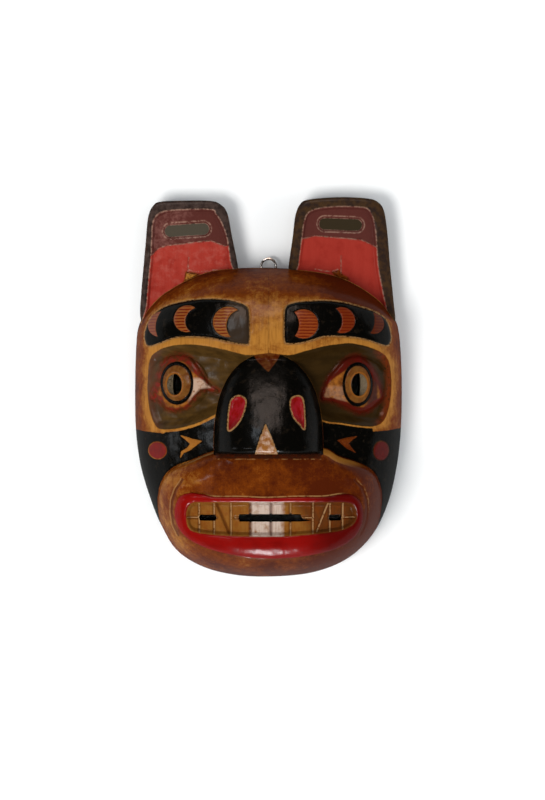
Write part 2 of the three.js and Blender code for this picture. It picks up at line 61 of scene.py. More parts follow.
# Inside their edge the lids dip, and so does the eye round the pupil's hole, out to a share of its radius.
LID_DIP = {"depth": 0.5, "inset": 3.0, "edge": 2.0}
HOLE_DIP = {"depth": 0.8, "reach": 1.25, "edge": 0.25}

NOSE = {"half_width": 42.5, "top": 26.0, "bottom": -51.5, "root_depth": 5.0, "rise": 43.0, "ridge_top": 24.0}
NOSE_FORM = {"arch": 1.5, "taper": 2.83, "section": 2.6, "tip_drop": 5.0, "tip_length": 6.0,
             "end_drop": 26.0, "end_width": 1.6}
NOSE_JOIN = 2.0
NOSTRIL = {"depth": 1.6, "inset": 0.4, "edge": 3.0}

# The lower lip's crest lies further out than the upper one's.
LIP = {"raise": 6.0, "width": 15.0, "fullness": 0.5, "outward": 0.6, "lower_from": -95.0, "lower_edge": 12.0}
MOUTH_CUT = {"depth": 6.5, "edge": 3.2}
TOOTH_GROOVE = {"depth": 1.7, "half": 1.9, "fade": 2.0}
BITE_Y = -101.3

EAR = {"height": 25.0, "round": 4.0, "dish": 3.2, "dish_edge": 2.5, "slot_depth": 1.6, "slot_edge": 1.4,
       "line_fade": 0.6, "fold_raise": 1.4, "fold_edge": 1.6}
EAR_MIDDLES = {"left": (-63.0, 104.0), "right": (60.0, 104.0)}

# Depth and half width of the lines cut with a knife
CUT_LINES = {
    "brow": (0.75, 1.0), "crescent": (0.45, 0.7), "muzzle": (0.9, 1.5), "lips": (0.25, 1.0), "lids": (0.45, 0.8),
    "chevron": (0.5, 0.7), "spot": (0.45, 0.7), "crease": (1.4, 1.7), "nostril": (0.6, 0.8),
    "nose_triangle": (0.5, 0.7), "ring": (0.5, 0.8), "iris": (0.5, 0.7), "panel": (0.6, 0.9), "slot": (0.6, 0.8),
    "divide": (0.7, 0.9), "split": (0.8, 0.8),
}

RING = {"y": 97.8, "z": 6.5, "radius": 5.9, "wire": 1.0, "shank": 1.2, "length": 11.5}
RING_SEAT = {"side": 3.0, "under": 1.2, "back": 0.5, "height": 30.0}
GAP = 0.3
RING_LOOP = {"start": -66.0, "turn": 318.0, "points": 90}
RING_NECK = {"foot": 0.4, "top": 2.4, "points": 110, "bend": [(0.16, -1.5), (0.75, -0.55)]}
THREAD = {"pitch": 1.25, "height": 0.22, "width": 0.16, "end": 1.5, "run_out": 0.8, "run_in": 2.0, "core": 0.24,
          "point": 0.8, "taper": 5.0}

# How finely the surfaces are laid: grid doublings, the error allowed in mm, the longest side in grid steps
FACE_MESH = {"levels": 10, "tolerance": 0.08, "longest": 8}
EAR_MESH = {"levels": 8, "tolerance": 0.06, "longest": 6}
HOLLOW_MESH = {"levels": 8, "tolerance": 0.12, "longest": 6}

# Outlines, closed, as points of smooth curves
OUTLINES = {
    "face": [
        (107.6, -8), (107, 23), (104.4, 48.5), (98, 60.5), (90, 69.8), (81, 76.8), (71, 83), (59, 88.6),
        (44, 92.4), (25, 94.9), (0, 96.5), (-25, 96), (-42, 94.6), (-55, 91.4), (-66, 86.8), (-78, 80.2),
        (-88.4, 73), (-99, 61), (-104.8, 49), (-106.6, 36), (-107.6, 8), (-107.2, -32), (-103, -64),
        (-93.6, -94.5), (-85.5, -113.2), (-76, -129), (-63, -139.6), (-45, -147.3), (-23, -151.6),
        (0, -152.5), (26, -150.8), (45, -146.5), (62, -139), (76, -128), (88, -112.5), (97.6, -89.7),
        (103.5, -64), (106.6, -38),
    ],
    "left_ear": [
        (-96, 44), (-102.6, 56), (-102, 76), (-100.4, 95), (-98.5, 116), (-96.6, 136), (-92.5, 145.5),
        (-86, 148.8), (-65, 149.6), (-46, 149.3), (-38, 146.2), (-33, 139.5), (-29.8, 123.6), (-24.5, 97),
        (-23, 80), (-60, 56),
    ],
    "right_ear": [
        (95, 42), (101.4, 52), (100.4, 68), (97.6, 96.4), (95.2, 125), (92.6, 141.3), (88.2, 148),
        (80, 151.2), (58, 152.4), (33, 150.6), (25.4, 146.8), (21.4, 137.2), (19.4, 121), (16, 96.4),
        (15, 78), (60, 56),
    ],
    "left_panel": [
        (-99, 48), (-97.6, 66), (-96.2, 84), (-94.2, 104.4), (-93.5, 120), (-92.2, 133), (-86.5, 139.6),
        (-75, 141.7), (-47, 142.3), (-41.8, 138.5), (-37, 130.5), (-33.2, 119.6), (-30.3, 100), (-28, 84),
        (-64, 60),
    ],
    "right_panel": [
        (96, 46), (94.6, 62), (91.6, 76), (87.8, 97), (86.3, 119.6), (84.6, 132.4), (82, 139.3),
        (77, 143.6), (58, 144.6), (41, 143.2), (32, 139.7), (28.4, 132), (26.7, 119.6), (24, 98), (22, 82),
        (62, 58),
    ],
    "left_brow": [
        (-98.6, 42), (-94.6, 54), (-87, 61), (-77, 65.4), (-60, 68.5), (-45, 69.2), (-31, 67.8), (-20, 64.6),
        (-15.2, 60), (-14.4, 46), (-14.8, 34.4), (-18, 32.6), (-30, 34.4), (-45, 37.6), (-60, 38.7),
        (-73, 38.2), (-85, 34.2), (-94, 32), (-97.6, 35),
    ],
    "right_brow": [
        (97.4, 42), (93.6, 53.4), (85, 59.2), (73, 63.2), (59, 66.5), (45, 67.8), (32, 67.2), (20, 65.8),
        (13, 61.6), (12, 48), (12.2, 36), (15, 33.2), (24, 33.6), (34, 36), (44, 38.9), (60, 38.9),
        (74, 37.3), (85, 34.2), (93, 32.3), (96.6, 35),
    ],
    "left_socket": [
        (-96.5, 2), (-94.6, 21), (-89, 28), (-79, 32.2), (-65, 33.8), (-50, 32.8), (-34, 29.6), (-17, 25.4),
        (2, 24), (2, 0), (-20, -12), (-42, -22.8), (-53, -28.2), (-66, -32.3), (-79, -34.2), (-88, -32.6),
        (-93.4, -23), (-95.9, -11),
    ],
    "right_socket": [
        (98.2, 6), (94.8, 22.8), (83, 30.6), (65, 34.7), (53, 33.8), (42, 32), (29, 28.6), (17, 25.4),
        (-2, 24), (-2, 0), (20, -12), (41, -26.2), (57, -29.1), (72, -31.4), (84, -31.6), (92.4, -26),
        (97, -12),
    ],
    "left_lids": [
        (-93.4, -8.4), (-88.6, 5.7), (-85, 17), (-79, 23.6), (-70.7, 26.5), (-61.5, 24), (-54.3, 15.5),
        (-47, 4.5), (-38.1, -4), (-50, -3.4), (-56.5, -8.4), (-63, -16), (-72, -19.2), (-80.4, -17.8),
        (-86, -12.5),
    ],
    "right_lids": [
        (91, -8.4), (88.4, 2), (83, 13.5), (78, 20), (71, 25.2), (62, 23.4), (53, 15.2), (45, 5),
        (40.6, -9.6), (49, -11.6), (57.5, -15.2), (66, -19.4), (73, -21.2), (80, -19), (86.6, -13.4),
    ],
    "muzzle": [
        (89.5, -92), (88, -78.5), (82, -67), (70, -59.6), (55, -54.4), (44, -48.4), (20, -44), (-20, -44),
        (-46, -51.8), (-60, -57.8), (-72.5, -62.6), (-81.5, -70.6), (-86.4, -83), (-87.3, -98), (-84, -116),
        (-74, -133), (-45, -151), (0, -157), (45, -150), (74, -132), (86, -114),
    ],
    "lips": [
        (73.7, -98), (71, -88.8), (64.5, -83.4), (55, -83), (42, -84.7), (20, -84.8), (-2, -85.6),
        (-20, -84.9), (-41.4, -84.8), (-50, -83), (-61, -82), (-69.2, -85.8), (-72.7, -95), (-72.6, -103),
        (-68.7, -112), (-60.6, -119.4), (-46.4, -125.9), (-26.4, -130.6), (-7, -133.1), (13, -133.1),
        (32, -131), (52, -126.4), (65.8, -118.8), (72.5, -108.4),
    ],
    "mouth": [
        (68.4, -100.6), (67, -93.6), (62.4, -90), (48, -89.2), (0, -89), (-48, -89.2), (-58.6, -90),
        (-62.4, -94.4), (-63.4, -101), (-62, -108.8), (-56, -112.6), (-40, -114.4), (-16, -115.2),
        (12, -115.2), (38, -113.4), (54, -111.6), (63, -108.6), (67.2, -105),
    ],
    "left_nostril": [
        (-24, -7.2), (-28.5, -10.5), (-30.1, -17.2), (-30.9, -26), (-30.4, -34), (-24, -29.4),
        (-19.4, -21.8), (-17.1, -11.8), (-19.5, -8),
    ],
    "right_nostril": [
        (19.3, -8), (24, -7.3), (26.7, -10.5), (27.8, -20.3), (27.8, -32.6), (24, -29), (19.7, -24.1),
        (17.2, -17.2), (17, -11),
    ],
}

# Outlines with corners, as straight-sided shapes
CORNERED = {
    "left_chevron": [
        (-68.2, -38.2), (-63.6, -39.3), (-58.4, -40.9), (-52, -42.3), (-56.7, -45.9), (-61.4, -49.4),
        (-66.2, -51.6), (-68.7, -55.1), (-68.1, -50.7), (-63.6, -48), (-60.8, -44.4), (-64.3, -41.3),
    ],
    "right_chevron": [
        (53.9, -41.7), (61.2, -39.9), (69, -38.8), (65.4, -41.2), (62.3, -44.2), (64.6, -47.4), (67.9, -51.2),
        (61, -47.8),
    ],
    "nose_triangle": [(-2.1, -29.4), (-6.2, -40), (-9.6, -51.6), (6.8, -51.6), (2.6, -40)],
    "root_notch": [(-13.5, 27.5), (-9, 20.5), (-0.4, 11), (6.5, 20), (10.5, 27.5)],
    "left_fold": [(-66.4, 92.6), (-55.2, 90.8), (-60, 87.5), (-68.4, 82.6)],
    "right_fold": [(50.5, 92.2), (56.5, 94), (58.5, 91), (66, 85.6), (56, 87)],
}

EYES = [
    {"x": -71.6, "y": 2.9, "ring": (13.0, 16.6), "iris": (11.3, 14.0), "ball": (25.0, 22.0),
     "hole": (-73.4, 1.8), "hole_r": (6.3, 8.3)},
    {"x": 69.8, "y": 1.9, "ring": (11.8, 17.0), "iris": (10.2, 14.6), "ball": (25.0, 22.0),
     "hole": (70.8, 1.6), "hole_r": (6.8, 8.9)},
]

# A disc less a second disc, whose middle is moved to the side that the crescent opens to.
CRESCENTS = [
    {"x": -85.6, "y": 49.5, "r": 10.0, "shift": 16.0, "bite": 19.2, "tilt": -6.6},
    {"x": -63.5, "y": 53.2, "r": 10.6, "shift": 9.6, "bite": 10.8, "tilt": -11.4},
    {"x": -31.2, "y": 50.4, "r": 11.9, "shift": 12.0, "bite": 13.0, "tilt": -14.7},
    {"x": 27.2, "y": 48.8, "r": 11.4, "shift": 18.2, "bite": 14.8, "tilt": 181.0},
    {"x": 57.4, "y": 52.0, "r": 10.3, "shift": 12.2, "bite": 12.3, "tilt": 182.4},
    {"x": 82.8, "y": 50.1, "r": 8.5, "shift": 16.5, "bite": 17.1, "tilt": 170.4},
]

CHEEK_SPOTS = [(-87.5, -50.0, 7.6, 6.8), (89.0, -50.3, 6.6, 7.8)]

EAR_SLOTS = [
    {"x": -65.4, "y": 126.0, "half": 13.2, "r": 6.0, "tilt": 4.0},
    {"x": 57.8, "y": 130.5, "half": 12.6, "r": 6.0, "tilt": -2.0},
]
EAR_DIVIDES = [
    [(-94, 105), (-87.8, 111.6), (-80.6, 113.6), (-68.6, 114.8), (-57.3, 116.4), (-46.1, 117.2), (-35, 113)],
    [(26, 118.6), (37.3, 121.2), (58.9, 119.6), (74.2, 118), (81.4, 114.8), (88, 111)],
]
# Where the black of the cheeks begins, below the sockets
CHEEK_TOP = [
    (-110, -33), (-98, -35), (-88, -36), (-79, -36.8), (-66, -35), (-53, -31.4), (-42, -26), (-30, -18),
    (0, -10), (30, -18), (41, -29.6), (57, -32.2), (72, -34.4), (84, -35), (94, -34.4), (110, -32),
]
EAR_SPLITS = [((-63.8, 104.0), (-64.6, 93.0)), ((58.1, 105.0), (58.1, 91.0))]

TOOTH_LINES = [-53.5, -41.9, -28.8, -13.9, 2.0, 17.1, 34.4, 47.6, 57.6]
DARK_TOOTH_LINES = [-13.9, 2.0]
CANINE_LINES = [((-39.9, -90.0), (-30.4, -113.0)), ((46.0, -90.0), (37.5, -112.0))]
# Where upper and lower teeth part, and where they are cut through; the tail is a thin end to the right.
BITE_LINES = [(-66.0, -40.0), (-26.0, 35.0), (46.5, 72.0)]
BITE_SLOTS = [
    {"start": -23.2, "end": 25.5, "half": 2.9, "tail": 8.0},
    {"start": -53.8, "end": -40.1, "half": 2.4, "tail": 0.0},
    {"start": 46.5, "end": 56.7, "half": 2.4, "tail": 0.0},
]
BITE_NICK = {"blunt": 0.9, "half": 1.0, "depth": 0.9}

MOUTH_CREASES = [
    [(-66.5, -72), (-71.5, -79), (-74.8, -88), (-75.6, -98), (-74.4, -108), (-70.5, -116)],
    [(67, -72), (73, -78.5), (76.4, -88), (77, -98), (75.4, -108), (71.5, -116)],
]
# Pale lines at the foot of the ears, a painted highlight on the dome's raised edge there
EAR_FEET = [
    [(-64.6, 94.4), (-60, 92.4), (-51, 92.8), (-41, 94.2)],
    [(56.4, 94.6), (51, 93), (45, 93), (37, 94.6)],
]

# The cuts through the wall; the eyes are pierced nearly square to the slope of the face.
EYE_CUT = {"lean": 0.1, "bottom": 20.0, "top": 110.0, "level": 73.0}
BITE_CUT = {"bottom": 40.0, "top": 125.0}
EYE_CUT_EDGE = {"points": 56, "wave": 0.02, "nicks": 0.008}
# The cut goes through on the inner side of an eye's hole, and the outer side slants down to it.
HOLE_SLANT = {"width": 8.4, "slope": 1.5}
# Behind the nose and the muzzle the hollow goes deeper: middle, half sizes and depth.
POCKETS = [((0.0, -34.0), (30.0, 34.0), 26.0), ((0.0, -100.0), (62.0, 36.0), 8.0)]
SCOOPS = {"depth": 0.6, "fade": 0.5}
# Heights of the tool's waves, which are lowered by their top to stay inside the solid
TOOL_WAVES = {"face": 0.14, "ear": 0.12, "top": 2.4}

# The black of the cheeks keeps off the sockets, on the right and the left, and off the muzzle.
CHEEK = {"socket_gaps": (0.3, 1.2), "top": -16.0, "half_width": 82.0, "muzzle_gap": 0.7}
# How golden the wood is beside a shape and how far that reaches, and the golden oval between the brows: partly
# paler wood, partly a painted highlight
GOLDEN = {"socket": (0.9, 4.0), "brow": (0.5, 3.5)}
GOLDEN_BRIDGE = {"y": 44.0, "half_sizes": (24.0, 22.0)}
# The ears' paint reaches a little over their edge, and a painted highlight, a light line, runs where they meet the
# dome.
EAR_PAINT = {"reach": 0.5, "join_from": 18.0, "join_gap": 0.3, "level": 21.5}
# Light lines round an ear's slot: how far outside its edge, and how much thinner
SLOT_LINES = [(0.5, 0.0), (-1.3, 0.3)]
CREASE_HALF = 0.4
# The light line between upper and lower teeth is thinner by this than those between neighbours.
THIN_BITE = 1.5
# A distance that no paint reaches
FAR = 20.0
# Faces below this height are the flat back, of bare wood.
BACK = {"below": 0.01, "look": 2}

SIDES = ("left", "right")
SINGLE_SHAPES = ["muzzle", "lips", "mouth", "nose_triangle", "root_notch"]
PAIRED_SHAPES = ["brow", "socket", "lids", "nostril", "chevron"]
EAR_SHAPES = ["ear", "panel", "fold"]
# How far the outlines here stay inside those of the solid
OUTLINE_INSIDE = 0.06


# Small maths, on whole arrays of points

def rise(distance, width):
    """0 at zero or less, 1 at width or more, smooth between."""
    t = np.clip(distance / width, 0.0, 1.0)
    return t * t * (3.0 - 2.0 * t)


def blend_max(a, b, r):
    """The larger of two heights, with the join between them rounded."""
    h = np.maximum(0.0, r - np.abs(a - b))
    return np.maximum(a, b) + h * h / (4.0 * r)


def ellipse(x, y, rx, ry):
    """1 on an ellipse round the origin, less inside."""
    return np.hypot(x / rx, y / ry)


def ellipse_distance(x, y, middle, radii):
    """Roughly the distance to an ellipse, negative inside."""
    return (ellipse(x - middle[0], y - middle[1], *radii) - 1.0) * radii[0]


def segment_distance(x, y, a, b):
    dx, dy = b[0] - a[0], b[1] - a[1]
    t = np.clip(((x - a[0]) * dx + (y - a[1]) * dy) / (dx * dx + dy * dy), 0.0, 1.0)
    return np.hypot(x - a[0] - t * dx, y - a[1] - t * dy)


def path_distance(x, y, points):
    return np.min([segment_distance(x, y, a, b) for a, b in zip(points, points[1:])], axis=0)


def outside_crease(x, y):
    """How far a point lies outwards of the crease on its side of the mouth."""
    across = [np.abs(np.interp(y, *np.array(crease[::-1], float).T[::-1])) for crease in MOUTH_CREASES]
    return np.abs(x) - np.where(x < 0, *across)


def smooth_ring(points, steps):
    """A closed curve through the points, as a polygon with so many steps to each of them."""
    p = np.array(points, float)
    before, after, last = np.roll(p, 1, 0), np.roll(p, -1, 0), np.roll(p, -2, 0)
    t = (np.arange(steps) / steps)[None, :, None]
    p0, p1, p2, p3 = (q[:, None, :] for q in (before, p, after, last))
    curve = p1 + 0.5 * t * (p2 - p0) + t ** 2 * (p0 - 2.5 * p1 + 2 * p2 - 0.5 * p3)
    curve = curve + t ** 3 * (-0.5 * p0 + 1.5 * p1 - 1.5 * p2 + 0.5 * p3)
    return curve.reshape(-1, 2)


def ring_distance(ring, x, y, reach=12.0):
    """Distance to a closed polygon, negative inside, and only a rough value further out than reach."""
    low, high = ring.min(0), ring.max(0)
    away = np.maximum.reduce([low[0] - x, x - high[0], low[1] - y, y - high[1]])
    out = np.maximum(away, reach)
    near = away < reach
    px, py = x[near], y[near]
    best = np.full(px.shape, 1e9)
    inside = np.zeros(px.shape, bool)
    for a, b in zip(ring, np.roll(ring, -1, 0)):
        dx, dy = b - a
        ax, ay = px - a[0], py - a[1]
        t = np.clip((ax * dx + ay * dy) / (dx * dx + dy * dy), 0.0, 1.0)
        best = np.minimum(best, (ax - t * dx) ** 2 + (ay - t * dy) ** 2)
        if dy != 0.0:
            inside ^= ((a[1] > py) != (b[1] > py)) & (ax < ay * dx / dy)
    out[near] = np.where(inside, -1.0, 1.0) * np.sqrt(best)
    return out


RINGS = {name: smooth_ring(points, 8) for name, points in OUTLINES.items()}
RINGS.update({name: np.array(points, float) for name, points in CORNERED.items()})


def distances(x, y, single, paired):
    """Distance to each shape, and for those on both sides of the face to the nearer one."""
    d = {name: ring_distance(RINGS[name], x, y) for name in single}
    for name in paired:
        d[name] = np.minimum(*(ring_distance(RINGS[f"{side}_{name}"], x, y) for side in SIDES))
    return d


class RadialOutline:
    """An outline as a radius round a middle point, looked up by angle."""

    def __init__(self, points, centre):
        ring = smooth_ring(points, 60) - np.array(centre)
        angle = np.arctan2(ring[:, 1], ring[:, 0])
        order = np.argsort(angle)
        angle, radius = angle[order], np.hypot(ring[:, 0], ring[:, 1])[order]
        self.angle = np.concatenate([angle[-1:] - 2 * math.pi, angle, angle[:1] + 2 * math.pi])
        self.known = np.concatenate([radius[-1:], radius, radius[:1]]) - OUTLINE_INSIDE

    def radius(self, angle):
        return np.interp(angle, self.angle, self.known)


FACE = RadialOutline(OUTLINES["face"], CENTRE)


def hand_waves(seed, count, shortest, longest):
    """A gentle unevenness, as of a gouge and a scraper: a sum of flat waves in all directions."""
    rng = np.random.default_rng(seed)
    length = np.exp(rng.uniform(np.log(shortest), np.log(longest), count))
    turn = rng.uniform(0, 2 * math.pi, count)
    phase = rng.uniform(0, 2 * math.pi, count)
    kx, ky = 2 * math.pi * np.cos(turn) / length, 2 * math.pi * np.sin(turn) / length

    def at(x, y):
        total = np.zeros_like(x)
        for a, b, p in zip(kx, ky, phase):
            total += np.sin(a * x + b * y + p)
        return total / math.sqrt(count)
    return at


CARVING_WAVES = hand_waves(seed=11, count=14, shortest=7.0, longest=30.0)
HOLLOW_WAVES = hand_waves(seed=12, count=16, shortest=9.0, longest=26.0)


def groove(distance, name):
    """The height of the cut line of this name, at a distance from its middle."""
    depth, half = CUT_LINES[name]
    return -depth * (1.0 - rise(np.abs(distance), half))


# Heights of the face

def vault(x, y, power, inset=None):
    """1 in the middle, 0 at the rim, squarer the higher the power."""
    dx, dy = x - CENTRE[0], y - CENTRE[1]
    angle = np.arctan2(dy, dx)
    edge = FACE.radius(angle) - (inset(angle) if inset else 0.0)
    up = np.sin(angle) ** 2
    p = power["side"] + (np.where(dy > 0, power["top"], power["bottom"]) - power["side"]) * up
    return np.sqrt(np.maximum(0.0, 1.0 - (np.hypot(dx, dy) / edge) ** p))


def dome_height(x, y):
    return RIM_EDGE + (DOME_HEIGHT - RIM_EDGE) * vault(x, y, VAULT_POWER)


def muzzle_height(x, y, dome, inside):
    full = RIM_EDGE + (MUZZLE_HEIGHT - RIM_EDGE) * vault(x, y, MUZZLE_POWER)
    t = 1.0 - np.clip(inside / MUZZLE_ROUND, 0.0, 1.0)
    return dome + np.maximum(0.0, full - dome) * np.sqrt(1.0 - t * t)


def crescent_distance(c, x, y):
    turn = math.radians(c["tilt"])
    bx, by = c["x"] + c["shift"] * math.cos(turn), c["y"] + c["shift"] * math.sin(turn)
    return np.maximum(np.hypot(x - c["x"], y - c["y"]) - c["r"], c["bite"] - np.hypot(x - bx, y - by))


def face_distances(x, y):
    """Distances to all the shapes on the face, by name."""
    d = distances(x, y, SINGLE_SHAPES, PAIRED_SHAPES)
    d["crescent"] = np.min([crescent_distance(c, x, y) for c in CRESCENTS], axis=0)
    d["spot"] = np.min([ellipse_distance(x, y, spot[:2], spot[2:]) for spot in CHEEK_SPOTS], axis=0)
    d["crease"] = np.min([path_distance(x, y, crease) for crease in MOUTH_CREASES], axis=0)
    return d


def eye_relief(x, y, lids):
    z = EYE["lid_raise"] * rise(-lids, EYE["edge"])
    z -= LID_DIP["depth"] * rise(-lids - LID_DIP["inset"], LID_DIP["edge"])
    for eye in EYES:
        dx, dy = x - eye["x"], y - eye["y"]
        z += EYE["raise"] * np.maximum(0.0, 1.0 - ellipse(dx, dy, *eye["ball"]) ** 2) ** EYE["fullness"]
        ring, iris = ring_edges(eye, x, y)
        z += EYE["iris_raise"] * rise(-ring, EYE["iris_edge"]) + groove(ring, "ring") + groove(iris, "iris")
        hole = ellipse(x - eye["hole"][0], y - eye["hole"][1], *eye["hole_r"])
        z += hole_slant(eye, x, y) - HOLE_DIP["depth"] * rise(HOLE_DIP["reach"] - hole, HOLE_DIP["edge"])
    return z


def hole_slant(eye, x, y):
    """How far the wood slants down inside an eye's hole, from both of its sides to the cut."""
    (middle, height), (rx, ry) = eye["hole"], eye["hole_r"]
    share = np.sqrt(np.maximum(0.0, 1.0 - ((y - height) / ry) ** 2))
    from_outer = rx * share - math.copysign(1.0, middle) * (x - middle)
    from_inner = 2.0 * rx * share - from_outer
    steeper = (2.0 * rx - HOLE_SLANT["width"]) / HOLE_SLANT["width"]
    depth = HOLE_SLANT["slope"] * np.minimum(from_outer, from_inner * steeper)
    return -np.where((from_outer > 0) & (from_inner > 0), depth, 0.0)


def ring_edges(eye, x, y):
    """Distances to the outer and the inner edge of the black ring round an iris."""
    return [ellipse_distance(x, y, (eye["x"], eye["y"]), eye[name]) for name in ("ring", "iris")]


def nose_half_width(y):
    t = np.maximum(0.0, (y - NOSE["bottom"]) / (NOSE["top"] - NOSE["bottom"]))
    return NOSE["half_width"] * np.sqrt(np.maximum(0.0, 1.0 - t ** NOSE_FORM["taper"]))


def nose_height(x, y, dome):
    """The nose's own height, and far below the face where there is no nose."""
    form = NOSE_FORM
    t = np.abs(x) / np.maximum(1e-6, nose_half_width(y))
    there = (y < NOSE["top"]) & (y >= NOSE["bottom"] - form["end_width"]) & (t < 1.0)
    down = np.clip((NOSE["ridge_top"] - y) / (NOSE["ridge_top"] - NOSE["bottom"]), 0.0, 1.0)
    near_tip = np.clip((NOSE["bottom"] + form["tip_length"] - y) / form["tip_length"], 0.0, 1.0)
    ridge = NOSE["rise"] * (1.0 - (1.0 - down) ** form["arch"]) - form["tip_drop"] * near_tip ** 3
    end = form["end_drop"] * rise(NOSE["bottom"] - y, form["end_width"])
    section = np.sqrt(1.0 - np.minimum(t, 1.0) ** form["section"])
    return np.where(there, dome - NOSE["root_depth"] + ridge * section - end, -1e3)


def tooth_lines(x, y):
    lines = [np.abs(x - at) for at in TOOTH_LINES] + [segment_distance(x, y, a, b) for a, b in CANINE_LINES]
    return np.min(lines, axis=0)


def light_tooth_lines(x, y):
    """The lines between the teeth that are scraped down to the light wood."""
    lines = [np.abs(x - at) for at in TOOTH_LINES if at not in DARK_TOOTH_LINES]
    return np.min([*lines, segment_distance(x, y, *CANINE_LINES[1])], axis=0)


def bite_line(x, y):
    return np.min([segment_distance(x, y, (a, BITE_Y), (b, BITE_Y)) for a, b in BITE_LINES], axis=0)


def tooth_relief(x, y, inside):
    line = np.minimum(bite_line(x, y), tooth_lines(x, y))
    cut = TOOTH_GROOVE["depth"] * (1.0 - rise(line, TOOTH_GROOVE["half"])) * rise(inside, TOOTH_GROOVE["fade"])
    return -MOUTH_CUT["depth"] * rise(inside, MOUTH_CUT["edge"]) - cut


def lip_relief(x, y, d):
    lips, mouth = -d["lips"], -d["mouth"]
    width = np.maximum(1e-3, lips - mouth)
    crest = 1.0 - LIP["outward"] * rise(LIP["lower_from"] - y, LIP["lower_edge"])
    band = np.sin(math.pi * np.clip(lips / width, 0.0, 1.0) ** crest) ** LIP["fullness"]
    raised = LIP["raise"] * np.minimum(1.0, width / LIP["width"]) * band
    return np.where(mouth > 0, tooth_relief(x, y, mouth), np.where(lips > 0, raised, 0.0))


def incised_lines(d, on_nose):
    """The knife lines round the painted shapes, which catch the light and show bare wood."""
    around = ("brow", "crescent", "muzzle", "lips", "lids", "chevron", "spot", "crease")
    plain = sum(groove(d[name], name) for name in around)
    dip = NOSTRIL["depth"] * rise(-d["nostril"] - NOSTRIL["inset"], NOSTRIL["edge"])
    nose = groove(d["nostril"], "nostril") - dip + groove(d["nose_triangle"], "nose_triangle")
    return plain * ~on_nose + nose * on_nose


def tool_waves(x, y, kind):
    return TOOL_WAVES[kind] * (CARVING_WAVES(x, y) - TOOL_WAVES["top"])


def face_height(x, y):
    d, dome = face_distances(x, y), dome_height(x, y)
    plain = muzzle_height(x, y, dome, -d["muzzle"])
    plain += BROW["raise"] * rise(-d["brow"], BROW["edge"])
    plain -= SOCKET["depth"] * rise(-d["socket"], SOCKET["edge"])
    plain += eye_relief(x, y, d["lids"]) + lip_relief(x, y, d)
    nose = nose_height(x, y, dome)
    return blend_max(plain, nose, NOSE_JOIN) + incised_lines(d, nose > plain) + tool_waves(x, y, "face")


# Heights of the ears and of the hollow

def slot_distance(slot, x, y):
    turn = math.radians(slot["tilt"])
    dx, dy = slot["half"] * math.cos(turn), slot["half"] * math.sin(turn)
    ends = (slot["x"] - dx, slot["y"] - dy), (slot["x"] + dx, slot["y"] + dy)
    return segment_distance(x, y, *ends) - slot["r"]


def divide_distance(k, x, y):
    """Above the line between an ear's two colours, positive."""
    return y - np.interp(x, *np.array(EAR_DIVIDES[k], float).T)


def ear_height(k):
    rings = [RINGS[f"{SIDES[k]}_{name}"] for name in EAR_SHAPES]

    def at(x, y):
        edge, panel, fold = (ring_distance(ring, x, y) for ring in rings)
        shoulder = np.clip(1.0 + edge / EAR["round"], 0.0, 1.0)
        z = EAR["height"] - EAR["round"] * (1.0 - np.sqrt(1.0 - shoulder ** 2))
        z -= EAR["dish"] * rise(-panel, EAR["dish_edge"])
        slot = slot_distance(EAR_SLOTS[k], x, y)
        z -= EAR["slot_depth"] * rise(-slot, EAR["slot_edge"])
        z += groove(panel, "panel") + groove(slot, "slot")
        within = rise(-panel, EAR["line_fade"])
        z += groove(divide_distance(k, x, y), "divide") * within
        z += groove(segment_distance(x, y, *EAR_SPLITS[k]), "split") * within
        z += EAR["fold_raise"] * rise(-fold, EAR["fold_edge"])
        return z + tool_waves(x, y, "ear")
    return at


def rim_inset(angle):
    """The width of the flat rim round the hollow, which is broader at the top."""
    return WALL + (TOP_WALL - WALL) * np.maximum(0.0, np.sin(angle)) ** 4


def hollow_edge(angle):
    return FACE.radius(angle) - rim_inset(angle)


def hollow_height(x, y):
    v = vault(x, y, VAULT_POWER, rim_inset)
    z = HOLLOW_HEIGHT * v
    for (px, py), half_sizes, depth in POCKETS:
        z += depth * np.maximum(0.0, 1.0 - ellipse(x - px, y - py, *half_sizes) ** 2) ** 2
    return z - SCOOPS["depth"] * np.abs(HOLLOW_WAVES(x, y)) * rise(v, SCOOPS["fade"])


# Meshing a height over an outline

def square_to_disc(u, v):
    """Lays the square -1..1 onto the disc, so that square rings become circles: radius and angle."""
    r = np.maximum(np.abs(u), np.abs(v))
    safe = np.where(r == 0, 1.0, r)
    quarter = math.pi / 4
    sideways = np.abs(u) >= np.abs(v)
    a = quarter * v / np.where(sideways, np.where(u == 0, safe, u), safe) + np.where(u < 0, math.pi, 0.0)
    b = 2 * quarter - quarter * u / np.where(sideways, safe, np.where(v == 0, safe, v))
    b = b + np.where(v < 0, math.pi, 0.0)
    return r, np.where(sideways, a, b)


def surface_grid(levels, centre, outline_radius, height):
    """Points over the outline in rows and columns, closer together near its edge."""
    n = 2 ** levels
    axis = np.linspace(-1.0, 1.0, n + 1)
    u, v = np.meshgrid(axis, axis)
    r, angle = square_to_disc(u, v)
    wrapped = np.arctan2(np.sin(angle), np.cos(angle))
    radius = outline_radius(wrapped) * np.sin(r * math.pi / 2)
    x, y = centre[0] + radius * np.cos(angle), centre[1] + radius * np.sin(angle)
    z = height(x.ravel(), y.ravel()).reshape(x.shape)
    return np.stack([x, y, z], axis=-1)


